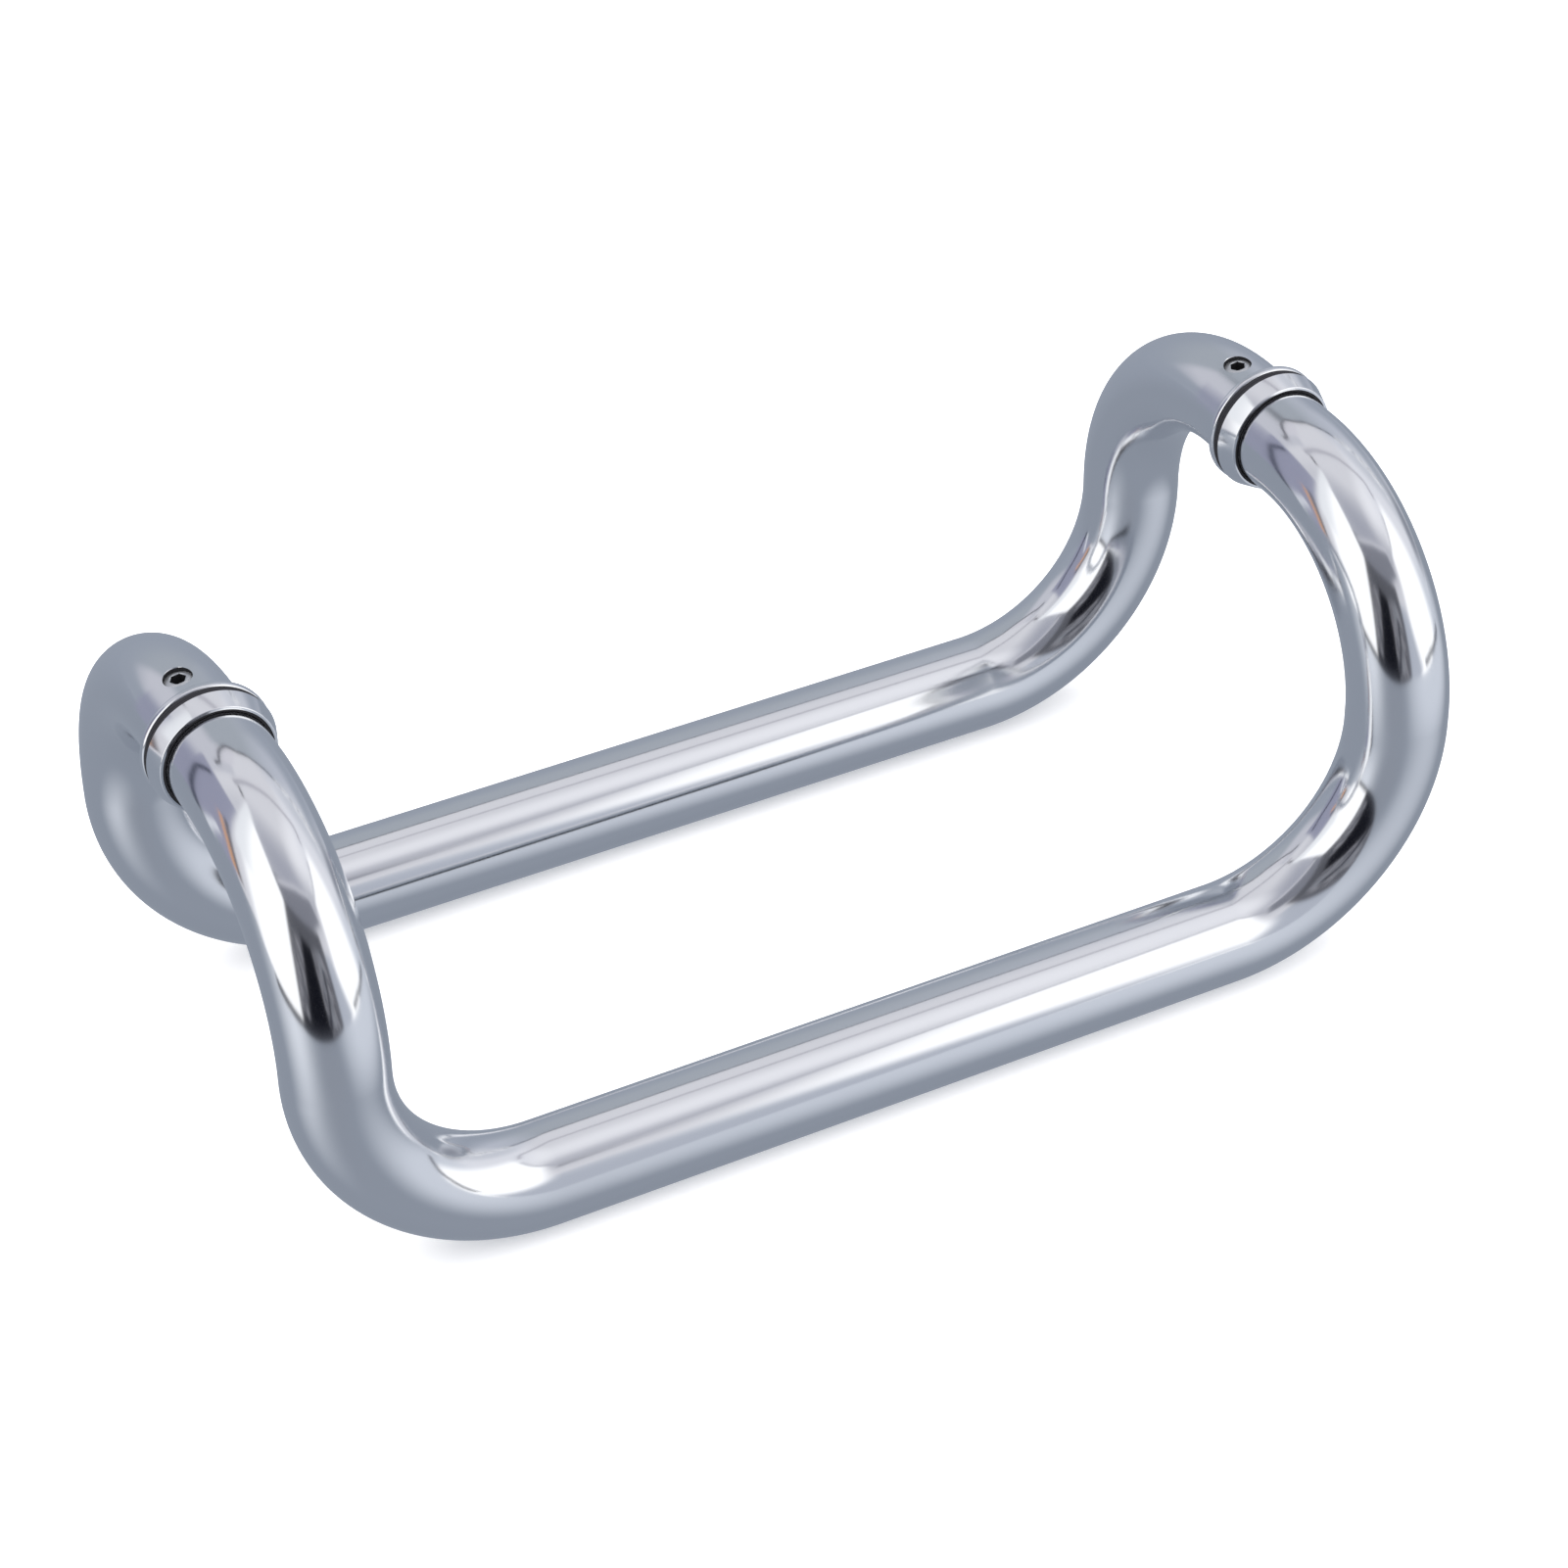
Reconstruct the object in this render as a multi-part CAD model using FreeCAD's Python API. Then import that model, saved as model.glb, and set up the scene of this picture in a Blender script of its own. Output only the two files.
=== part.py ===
import FreeCAD, Part
import math
import os

# Back-to-back shower door handle: two bent tubes joined through the glass at two fixings.
# Millimetres. +X runs along the grips, +Y goes through the glass to the rear handle, +Z is up.
# The origin is on the middle plane of the glass, half way between the two fixings.

# Bent tubes
TUBE_DIAMETER = 22.0
TUBE_WALL = 1.5
FIXING_SPACING = 245.0        # between the axes of the two fixings
LEG_STRAIGHT = 12.0           # from the middle plane of the glass to the first bend
BEND_RADIUS = 42.0            # on the centre line of the tube
DROP_STRAIGHT = 2.0           # straight stretch between the two bends of a leg
TUBE_END_CHAMFER = 0.25

# Gaskets on the two faces of the glass
GASKET_INSET = 0.25           # from the metal's edge in to the gasket's edge
GASKET_THICKNESS = 0.9
GASKET_EDGE_ROUND = 0.2

# Collar of the front handle
COLLAR_LIP = 0.6              # wall of the lip round the seal
COLLAR_LIP_LAND = 0.3         # flat left on the lip inside its rounded edge
COLLAR_TAPER = 1.35           # how much its radius widens from the lip to the gasket
COLLAR_LENGTH = 4.3
COLLAR_FLOOR = 2.0
COLLAR_BACK_CHAMFER = 0.2

# Seal between the collar and the front tube
SEAL_WIDTH = 0.7
SEAL_SINK = 0.15              # how far the seal sits below the collar's lip
SEAL_ROUND = 0.2

# Threaded plug in each end of the front tube
PLUG_CHAMFER = 0.6

# Clamping stud and its sleeve
STUD_DIAMETER = 8.0
STUD_END_CHAMFER = 0.8
STUD_KEY_ACROSS = 4.0
STUD_KEY_DEPTH = 4.0
STUD_END_GAP = 1.0            # from the stud's ends to the ends of the threads that hold it
SLEEVE_WALL = 1.5

# Post that clamps the rear face of the glass and carries the rear handle
FLANGE_THICKNESS = 2.0
FLANGE_EDGE_ROUND = 0.7
POST_FLAT_DEPTH = 1.0         # depth of each of the two spanner flats
POST_FLAT_LENGTH = 4.5
POST_END_GAP = 0.6            # from the end of the post to the end of the insert
POST_END_CHAMFER = 0.8
POST_END_WALL = 3.0           # past the full bore of the stud's hole, so that its drill point stays inside
GROOVE_DEPTH = 0.6            # of the groove that takes the set screw's point

# Insert in each end of the rear tube, and its set screw
INSERT_WALL = 3.25            # between the tube's bore and the post, deep enough for the screw's thread
INSERT_CHAMFER = 0.9
INSERT_END_WALL = 1.3         # past the set screw's thread
SET_SCREW_DIAMETER = 6.0
SET_SCREW_LENGTH = 5.0
SET_SCREW_KEY_ACROSS = 3.0
SET_SCREW_KEY_DEPTH = 2.6
SET_SCREW_CHAMFER = 0.5
SET_SCREW_POINT = 3.0         # diameter of the rim of its cup point
SET_SCREW_RIM = 0.2           # width of that rim
SET_SCREW_CUP_DEPTH = 0.7
SET_SCREW_SETBACK = 1.2       # from the start of the bend back to the screw's axis
SET_SCREW_LEAN = -8.0         # degrees from straight up, towards +X
SCREW_HOLE_COUNTERSINK = 0.2

# Clearances on the radius
THREAD_CLEARANCE = 0.05
TUBE_INSERT_CLEARANCE = 0.15  # lets plug and insert reach just past the start of the bend
SLIDE_CLEARANCE = 0.1
POINT_CLEARANCE = 0.2         # between the set screw's point and the sides of the groove

# Sizes worked out from those above
TUBE_RADIUS = TUBE_DIAMETER / 2
BORE_RADIUS = TUBE_RADIUS - TUBE_WALL
HALF_SPACING = FIXING_SPACING / 2
STUD_RADIUS = STUD_DIAMETER / 2
SLEEVE_BORE_RADIUS = STUD_RADIUS + SLIDE_CLEARANCE
SLEEVE_RADIUS = SLEEVE_BORE_RADIUS + SLEEVE_WALL
SLEEVE_HOLE_RADIUS = SLEEVE_RADIUS + SLIDE_CLEARANCE
INNER_FIT_RADIUS = BORE_RADIUS - TUBE_INSERT_CLEARANCE
COLLAR_BACK = -GASKET_THICKNESS
COLLAR_FRONT = COLLAR_BACK - COLLAR_LENGTH
COLLAR_SEAT = COLLAR_BACK - COLLAR_FLOOR
RECESS_RADIUS = TUBE_RADIUS + SEAL_WIDTH
LIP_RADIUS = RECESS_RADIUS + COLLAR_LIP
COLLAR_RADIUS = LIP_RADIUS + COLLAR_TAPER
GASKET_RADIUS = COLLAR_RADIUS - GASKET_INSET
PLUG_END = -LEG_STRAIGHT
FLANGE_FRONT = GASKET_THICKNESS
REAR_SEAT = FLANGE_FRONT + FLANGE_THICKNESS
SET_SCREW_Y = LEG_STRAIGHT - SET_SCREW_SETBACK
SET_SCREW_RADIUS = SET_SCREW_DIAMETER / 2
INSERT_END = SET_SCREW_Y + SET_SCREW_RADIUS + INSERT_END_WALL
INSERT_BORE_RADIUS = INNER_FIT_RADIUS - INSERT_WALL
POST_RADIUS = INSERT_BORE_RADIUS - SLIDE_CLEARANCE
POST_END = INSERT_END - POST_END_GAP
POST_BORE_END = POST_END - POST_END_WALL
STUD_START = PLUG_END + STUD_END_GAP
STUD_END = POST_BORE_END - STUD_END_GAP
GROOVE_RADIUS = POST_RADIUS - GROOVE_DEPTH
GROOVE_HALF_WIDTH = SET_SCREW_POINT / 2 + POINT_CLEARANCE

AXIS_Y = FreeCAD.Vector(0, 1, 0)
SIDES = {"left": -1, "right": 1}


def turned(profile):
    """Solid of revolution about the Y axis from (radius, y) points given in order."""
    points = [FreeCAD.Vector(radius, y, 0) for radius, y in profile]
    face = Part.Face(Part.makePolygon(points + points[:1]))
    return face.revolve(FreeCAD.Vector(), AXIS_Y, 360)


def rod(radius, y_start, y_end):
    """Round bar along Y between two planes."""
    base = FreeCAD.Vector(0, min(y_start, y_end), 0)
    return Part.makeCylinder(radius, abs(y_end - y_start), base, AXIS_Y)


def washer(outer_radius, inner_radius, y_start, y_end):
    """Flat ring along Y between two planes."""
    return rod(outer_radius, y_start, y_end).cut(rod(inner_radius, y_start, y_end))


def rims(shape, radius, y):
    """Circular edges of the given radius that lie in the plane at y."""
    found = []
    for edge in shape.Edges:
        curve = edge.Curve
        if isinstance(curve, Part.Circle) and abs(curve.Radius - radius) < 1e-4:
            if abs(curve.Center.y - y) < 1e-4:
                found.append(edge)
    return found


def hexagon_bar(across_flats, height):
    """Hexagonal bar up from the origin, along Z."""
    corner_radius = across_flats / math.sqrt(3)
    corners = []
    for turn in range(7):
        angle = math.radians(60 * turn)
        corners.append(FreeCAD.Vector(corner_radius * math.cos(angle), corner_radius * math.sin(angle), 0))
    return Part.Face(Part.makePolygon(corners)).extrude(FreeCAD.Vector(0, 0, height))


def along_y(shape, y, direction):
    """Turn a shape made along +Z to point along Y (direction +1 or -1) and start at y."""
    shape.Placement = FreeCAD.Placement(
        FreeCAD.Vector(0, y, 0), FreeCAD.Rotation(FreeCAD.Vector(0, 0, 1), AXIS_Y * direction))
    return shape


def at_fixing(shape, side):
    """Copy of a shape made on the origin's axis, moved to the left or right fixing."""
    moved = shape.copy()
    moved.translate(FreeCAD.Vector(side * HALF_SPACING, 0, 0))
    return moved


def quarter_bend(centre, first, last):
    """Quarter circle about centre, between the points in the directions first and last."""
    middle = (first + last).normalize()
    return Part.Arc(centre + first * BEND_RADIUS, centre + middle * BEND_RADIUS,
                    centre + last * BEND_RADIUS).toShape()


def handle_route(face, seat):
    """Centre line of one handle, from its left seat round the grip to its right seat.

    face is -1 for the front handle and +1 for the rear one; seat is the y of the tube's ends.
    """
    up = FreeCAD.Vector(0, 0, 1)
    away = FreeCAD.Vector(0, face, 0)
    grip_y = face * (LEG_STRAIGHT + BEND_RADIUS)
    grip_z = -(2 * BEND_RADIUS + DROP_STRAIGHT)
    legs = {}
    for side in SIDES.values():
        outward = FreeCAD.Vector(side, 0, 0)
        x = side * HALF_SPACING
        upper = quarter_bend(FreeCAD.Vector(x, face * LEG_STRAIGHT, -BEND_RADIUS), up, away)
        lower = quarter_bend(FreeCAD.Vector(x - side * BEND_RADIUS, grip_y, grip_z + BEND_RADIUS),
                             outward, up * -1)
        foot = Part.makeLine(FreeCAD.Vector(x, seat, 0), FreeCAD.Vector(x, face * LEG_STRAIGHT, 0))
        drop = Part.makeLine(FreeCAD.Vector(x, grip_y, -BEND_RADIUS),
                             FreeCAD.Vector(x, grip_y, grip_z + BEND_RADIUS))
        legs[side] = [foot, upper, drop, lower]
    grip_end = HALF_SPACING - BEND_RADIUS
    grip = Part.makeLine(FreeCAD.Vector(-grip_end, grip_y, grip_z), FreeCAD.Vector(grip_end, grip_y, grip_z))
    return Part.Wire(legs[-1] + [grip] + legs[1][::-1])


def bent_tube(face, seat):
    """Hollow bent tube of one handle, with its two cut ends lightly chamfered."""
    route = handle_route(face, seat)
    start = FreeCAD.Vector(-HALF_SPACING, seat, 0)
    outside = route.makePipeShell([Part.Wire(Part.makeCircle(TUBE_RADIUS, start, AXIS_Y))], True, False)
    inside = route.makePipeShell([Part.Wire(Part.makeCircle(BORE_RADIUS, start, AXIS_Y))], True, False)
    tube = outside.cut(inside)
    ends = rims(tube, TUBE_RADIUS, seat)
    return tube.makeChamfer(TUBE_END_CHAMFER, ends)


def screw_direction():
    """Unit vector from a fixing's axis out along its set screw."""
    lean = math.radians(SET_SCREW_LEAN)
    return FreeCAD.Vector(math.sin(lean), 0, math.cos(lean))


def along_screw(shape, start_radius):
    """Turn a shape made along +Z to the set screw's axis, starting at a radius from the fixing's axis."""
    direction = screw_direction()
    shape.Placement = FreeCAD.Placement(
        direction * start_radius + FreeCAD.Vector(0, SET_SCREW_Y, 0),
        FreeCAD.Rotation(FreeCAD.Vector(0, 0, 1), direction))
    return shape


def screw_hole():
    """Tapped hole for the set screw, countersunk where it breaks out of the tube."""
    radius = SET_SCREW_RADIUS + THREAD_CLEARANCE
    hole = along_screw(Part.makeCylinder(radius, TUBE_DIAMETER), 0)
    cone_height = 2 * SCREW_HOLE_COUNTERSINK
    cone = Part.makeCone(radius, radius + cone_height, cone_height)
    return hole.fuse(along_screw(cone, TUBE_RADIUS - SCREW_HOLE_COUNTERSINK))


def front_handle_tube():
    """Handle on the front of the door; its ends stand on the floors of the collars."""
    return bent_tube(-1, COLLAR_SEAT)


def rear_handle_tube():
    """Handle on the back of the door, with a set screw hole on top of each end."""
    tube = bent_tube(1, REAR_SEAT)
    for side in SIDES.values():
        tube = tube.cut(at_fixing(screw_hole(), side))
    return tube


def front_tube_plug():
    """Threaded plug brazed flush into the front tube's end."""
    return turned([(STUD_RADIUS + THREAD_CLEARANCE, COLLAR_SEAT),
                   (INNER_FIT_RADIUS, COLLAR_SEAT),
                   (INNER_FIT_RADIUS, PLUG_END + PLUG_CHAMFER),
                   (INNER_FIT_RADIUS - PLUG_CHAMFER, PLUG_END),
                   (STUD_RADIUS + THREAD_CLEARANCE, PLUG_END)])


def front_collar():
    """Tapered cup washer: its floor takes the tube's end and its lip holds the seal."""
    collar = turned([(SLEEVE_HOLE_RADIUS, COLLAR_BACK),
                     (COLLAR_RADIUS, COLLAR_BACK),
                     (LIP_RADIUS, COLLAR_FRONT),
                     (RECESS_RADIUS, COLLAR_FRONT),
                     (RECESS_RADIUS, COLLAR_SEAT),
                     (SLEEVE_HOLE_RADIUS, COLLAR_SEAT)])
    collar = collar.makeFillet(COLLAR_LIP - COLLAR_LIP_LAND, rims(collar, LIP_RADIUS, COLLAR_FRONT))
    return collar.makeChamfer(COLLAR_BACK_CHAMFER, rims(collar, COLLAR_RADIUS, COLLAR_BACK))


def front_seal():
    """Rubber ring in the collar's recess, round the tube, with a rounded outer lip."""
    outer_radius = RECESS_RADIUS - THREAD_CLEARANCE
    inner_radius = TUBE_RADIUS + THREAD_CLEARANCE
    front = COLLAR_FRONT + SEAL_SINK
    seal = washer(outer_radius, inner_radius, COLLAR_SEAT, front)
    return seal.makeFillet(SEAL_ROUND, rims(seal, outer_radius, front) + rims(seal, inner_radius, front))


def gasket(y_start, y_end):
    """Rubber washer between the metal and the glass, its outer corners softened."""
    ring = washer(GASKET_RADIUS, SLEEVE_HOLE_RADIUS, y_start, y_end)
    corners = rims(ring, GASKET_RADIUS, y_start) + rims(ring, GASKET_RADIUS, y_end)
    return ring.makeFillet(GASKET_EDGE_ROUND, corners)


def front_gasket():
    """Gasket under the front collar."""
    return gasket(-GASKET_THICKNESS, 0)


def rear_gasket():
    """Gasket under the rear post's flange."""
    return gasket(0, GASKET_THICKNESS)


def hole_sleeve():
    """Plastic sleeve that keeps the stud off the edge of the hole in the glass."""
    return washer(SLEEVE_RADIUS, SLEEVE_BORE_RADIUS, COLLAR_SEAT, FLANGE_FRONT)


def clamp_stud():
    """Headless stud that ties the front plug to the rear post, with a key socket in its rear end."""
    stud = rod(STUD_RADIUS, STUD_START, STUD_END)
    ends = rims(stud, STUD_RADIUS, STUD_START) + rims(stud, STUD_RADIUS, STUD_END)
    stud = stud.makeChamfer(STUD_END_CHAMFER, ends)
    socket = along_y(hexagon_bar(STUD_KEY_ACROSS, STUD_KEY_DEPTH), STUD_END, -1)
    return stud.cut(socket)


def rear_post():
    """Post with a thin flange as wide as the collar, spanner flats and a groove with sloping sides."""
    bore_radius = STUD_RADIUS + THREAD_CLEARANCE
    post = turned([(0, POST_BORE_END + bore_radius / 2),
                   (bore_radius, POST_BORE_END),
                   (bore_radius, FLANGE_FRONT),
                   (COLLAR_RADIUS, FLANGE_FRONT),
                   (COLLAR_RADIUS, REAR_SEAT),
                   (POST_RADIUS, REAR_SEAT),
                   (POST_RADIUS, SET_SCREW_Y - GROOVE_HALF_WIDTH - GROOVE_DEPTH),
                   (GROOVE_RADIUS, SET_SCREW_Y - GROOVE_HALF_WIDTH),
                   (GROOVE_RADIUS, SET_SCREW_Y + GROOVE_HALF_WIDTH),
                   (POST_RADIUS, SET_SCREW_Y + GROOVE_HALF_WIDTH + GROOVE_DEPTH),
                   (POST_RADIUS, POST_END - POST_END_CHAMFER),
                   (POST_RADIUS - POST_END_CHAMFER, POST_END),
                   (0, POST_END)])
    flange_rims = rims(post, COLLAR_RADIUS, FLANGE_FRONT) + rims(post, COLLAR_RADIUS, REAR_SEAT)
    post = post.makeFillet(FLANGE_EDGE_ROUND, flange_rims)
    for direction in (-1, 1):
        flat = Part.makeBox(2 * POST_RADIUS, POST_FLAT_LENGTH, POST_FLAT_DEPTH)
        z = POST_RADIUS - POST_FLAT_DEPTH if direction > 0 else -POST_RADIUS
        flat.translate(FreeCAD.Vector(-POST_RADIUS, REAR_SEAT, z))
        post = post.cut(flat)
    return post


def rear_tube_insert():
    """Sleeve brazed into the rear tube's end: it slides over the post and holds the screw's thread."""
    insert = turned([(INSERT_BORE_RADIUS, REAR_SEAT),
                     (INNER_FIT_RADIUS, REAR_SEAT),
                     (INNER_FIT_RADIUS, INSERT_END - INSERT_CHAMFER),
                     (INNER_FIT_RADIUS - INSERT_CHAMFER, INSERT_END),
                     (INSERT_BORE_RADIUS, INSERT_END)])
    return insert.cut(screw_hole())


def set_screw():
    """Headless socket screw, its cup point down in the post's groove."""
    point_radius = SET_SCREW_POINT / 2
    point_height = SET_SCREW_RADIUS - point_radius
    point = Part.makeCone(point_radius, SET_SCREW_RADIUS, point_height)
    shank = Part.makeCylinder(SET_SCREW_RADIUS, SET_SCREW_LENGTH - point_height)
    shank.translate(FreeCAD.Vector(0, 0, point_height))
    top = [edge for edge in shank.Edges
           if isinstance(edge.Curve, Part.Circle) and edge.Curve.Center.z > point_height]
    screw = point.fuse(shank.makeChamfer(SET_SCREW_CHAMFER, top)).removeSplitter()
    socket = hexagon_bar(SET_SCREW_KEY_ACROSS, SET_SCREW_KEY_DEPTH)
    socket.translate(FreeCAD.Vector(0, 0, SET_SCREW_LENGTH - SET_SCREW_KEY_DEPTH))
    cup = Part.makeCone(point_radius - SET_SCREW_RIM, 0, SET_SCREW_CUP_DEPTH)
    return along_screw(screw.cut(socket).cut(cup), GROOVE_RADIUS)


PAIRED_PIECES = {
    "front_tube_plug": front_tube_plug,
    "front_collar": front_collar,
    "front_seal": front_seal,
    "front_gasket": front_gasket,
    "rear_gasket": rear_gasket,
    "hole_sleeve": hole_sleeve,
    "clamp_stud": clamp_stud,
    "rear_post": rear_post,
    "rear_tube_insert": rear_tube_insert,
    "set_screw": set_screw,
}


def main():
    """Build every piece and write one file for each."""
    os.makedirs("parts", exist_ok=True)
    pieces = {"front_handle_tube": front_handle_tube(), "rear_handle_tube": rear_handle_tube()}
    for name, build in PAIRED_PIECES.items():
        shape = build()
        for side_name, side in SIDES.items():
            pieces[name + "_" + side_name] = at_fixing(shape, side)
    for name, shape in pieces.items():
        shape.exportStep("parts/" + name + ".step")
        print(name, "solids", len(shape.Solids), "valid", shape.isValid(), "volume", round(shape.Volume, 1))


main()
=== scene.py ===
"""Looks of a back-to-back shower door handle: two bent chrome tubes joined at two fixings.

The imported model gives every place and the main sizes. The pieces that show are rebuilt here as
smooth meshes, because polished chrome shows every facet, and each finish is a node material.
"""

import logging
import math
from collections.abc import Callable
from dataclasses import dataclass, field
from enum import Enum

import bmesh
import bpy
import numpy as np
from mathutils import Matrix, Vector


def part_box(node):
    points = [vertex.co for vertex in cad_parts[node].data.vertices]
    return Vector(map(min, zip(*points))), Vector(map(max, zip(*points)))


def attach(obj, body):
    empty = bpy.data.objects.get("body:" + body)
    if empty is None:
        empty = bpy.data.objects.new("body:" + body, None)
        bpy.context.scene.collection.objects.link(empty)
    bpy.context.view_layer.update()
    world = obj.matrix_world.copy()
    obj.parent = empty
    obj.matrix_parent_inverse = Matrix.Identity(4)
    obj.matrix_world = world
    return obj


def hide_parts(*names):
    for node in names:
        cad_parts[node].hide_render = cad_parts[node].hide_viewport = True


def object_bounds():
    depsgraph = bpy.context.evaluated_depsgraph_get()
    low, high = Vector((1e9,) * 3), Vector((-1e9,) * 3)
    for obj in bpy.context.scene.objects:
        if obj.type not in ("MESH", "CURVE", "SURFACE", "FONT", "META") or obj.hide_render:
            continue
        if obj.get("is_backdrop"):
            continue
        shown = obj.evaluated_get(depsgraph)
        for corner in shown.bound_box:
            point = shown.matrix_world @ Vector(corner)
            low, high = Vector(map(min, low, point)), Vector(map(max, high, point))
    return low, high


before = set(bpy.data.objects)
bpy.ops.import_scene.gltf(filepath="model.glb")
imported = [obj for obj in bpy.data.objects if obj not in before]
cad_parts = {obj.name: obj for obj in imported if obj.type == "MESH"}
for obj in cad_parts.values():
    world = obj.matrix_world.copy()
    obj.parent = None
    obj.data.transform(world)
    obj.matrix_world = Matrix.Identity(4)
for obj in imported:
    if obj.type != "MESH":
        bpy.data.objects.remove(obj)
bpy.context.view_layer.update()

LOG = logging.getLogger("shower_door_handle")
MM = 0.001
PHOTO_SIDE = 1601  # pixels
MIRROR = 0.91  # share of the light that the chrome gives back

TUBE_EDGE, TURNED_EDGE, SCREW_EDGE = 25, 32, 20  # degrees; edges that turn by more stay crisp
HOLE_STEPS, SCREW_STEPS = 64, 96  # faces round a drilled hole and round a screw
SKIN_AGREEMENT = 0.985  # cosine between a face and the round tube above which it is the tube's skin

NOISE_SPAN = (0.3, 0.7)  # most values of a noise texture
PATCH_DETAIL, GRAIN_DETAIL, SPECK_DETAIL = 3.0, 2.0, 2.0

PANEL_AHEAD = 0.02  # a panel shows only where the direction's share along its middle is more
PANEL_REACH = 50.0  # half sizes from a panel's middle beyond which the distance no longer counts
SPECK_SPAN = (0.42, 0.56)  # noise values over which a broken sheet fades
LAYER_TRACE = (1e-6, 1e-6, 1e-6)  # share of a layer's colour handed on with the direction

Outline = list[tuple[float, float]]
Angles = tuple[float, float]
Rgb = tuple[int, int, int]
Rgba = tuple[float, float, float, float]
Socket = bpy.types.NodeSocket
Sockets = bpy.types.bpy_prop_collection


class Face(Enum):
    """Which side of the glass a handle is on; the value is its direction along Y."""

    FRONT = -1
    REAR = 1


class Side(Enum):
    """Which of the two fixings a piece belongs to; the value is its direction along X."""

    LEFT = -1
    RIGHT = 1


def named(piece: str, side: Side) -> str:
    """Name of the CAD node of a paired piece."""
    return f"{piece}_{side.name.lower()}"


@dataclass
class NodeTree:
    """A node tree that is being written, with short calls to add and join nodes."""

    tree: bpy.types.NodeTree

    def fill(self, node: bpy.types.Node, inputs: dict[str | int, object]) -> None:
        """Fill a node's inputs.

        Args:
            node: The node.
            inputs: Sockets to join or values to set, by the input's name or place.
        """
        for name, value in inputs.items():
            if isinstance(value, Socket):
                self.tree.links.new(value, node.inputs[name])
            else:
                node.inputs[name].default_value = value

    def add(self, kind: str, inputs: dict[str | int, object] | None = None,
            **settings: object) -> bpy.types.Node:
        """Add a node.

        Args:
            kind: The node's type name.
            inputs: Sockets or values for its inputs.
            **settings: Attributes to set on it.

        Returns:
            The new node.
        """
        node = self.tree.nodes.new(kind)
        for name, value in settings.items():
            setattr(node, name, value)
        self.fill(node, inputs or {})
        return node

    def math(self, operation: str, *values: object) -> Socket:
        """Result of a Math node."""
        return self.add("ShaderNodeMath", dict(enumerate(values)), operation=operation).outputs[0]

    def vector(self, operation: str, *values: object) -> Socket:
        """Result of a Vector Math node, which is a number for a dot product."""
        node = self.add("ShaderNodeVectorMath", dict(enumerate(values)), operation=operation)
        return node.outputs["Value" if operation == "DOT_PRODUCT" else "Vector"]

    def spread(self, value: object, low: object, high: object, to_low: float = 0.0,
               to_high: float = 1.0) -> Socket:
        """Map a value between two limits smoothly to another range.

        Args:
            value: What to map.
            low: Where the result is to_low.
            high: Where the result is to_high.
            to_low: Result at low.
            to_high: Result at high.

        Returns:
            The result's socket.
        """
        given = dict(enumerate((value, low, high, to_low, to_high)))
        return self.add("ShaderNodeMapRange", given, interpolation_type="SMOOTHSTEP").outputs[0]

    def mix(self, amount: object, first: object, second: object) -> Socket:
        """Mix of two colours; an amount of 0 gives the first."""
        return self.add("ShaderNodeMix", {0: amount, 6: first, 7: second}, data_type="RGBA").outputs[2]

    def noise(self, place: Socket, scale: float, detail: float) -> Socket:
        """Value of a noise texture."""
        given = {"Vector": place, "Scale": scale, "Detail": detail}
        return self.add("ShaderNodeTexNoise", given).outputs["Fac"]

    def place(self) -> Socket:
        """Place on the object, in its own coordinates."""
        return self.add("ShaderNodeTexCoord").outputs["Object"]

    def surface(self, shader: Socket) -> None:
        """End a material's tree with its shader."""
        self.add("ShaderNodeOutputMaterial", {"Surface": shader})


def new_group(name: str, kind: str, inputs: dict[str, str], outputs: dict[str, str]) -> NodeTree:
    """Start a node group.

    Args:
        name: Name of the group.
        kind: Geometry or Shader.
        inputs: Kind of each input, by its name.
        outputs: Kind of each output, by its name.

    Returns:
        The group's tree.
    """
    tree = bpy.data.node_groups.new(name, kind + "NodeTree")
    for way, sockets in (("INPUT", inputs), ("OUTPUT", outputs)):
        for label, socket in sockets.items():
            tree.interface.new_socket(label, in_out=way, socket_type="NodeSocket" + socket)
    return NodeTree(tree)


def new_material(name: str, empty: bool = False) -> tuple[bpy.types.Material, NodeTree]:
    """Start a material.

    Args:
        name: Its name.
        empty: Whether to leave out the usual shader.

    Returns:
        The material and its tree.
    """
    made = bpy.data.materials.new(name)
    made.use_nodes = True
    if empty:
        made.node_tree.nodes.clear()
    return made, NodeTree(made.node_tree)


def studio_colour(colour: Rgb, gain: float = 1.0) -> Rgba:
    """Linear colour of a part of the studio.

    Args:
        colour: Display colour that it gives in the chrome, 0 to 255.
        gain: Factor on its light.

    Returns:
        Linear red, green, blue and an alpha of 1.
    """
    def channel(value: int) -> float:
        """Linear light for one display value."""
        share = value / 255
        return gain / MIRROR * (share / 12.92 if share <= 0.04045 else ((share + 0.055) / 1.055) ** 2.4)

    return (*map(channel, colour), 1.0)


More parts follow.
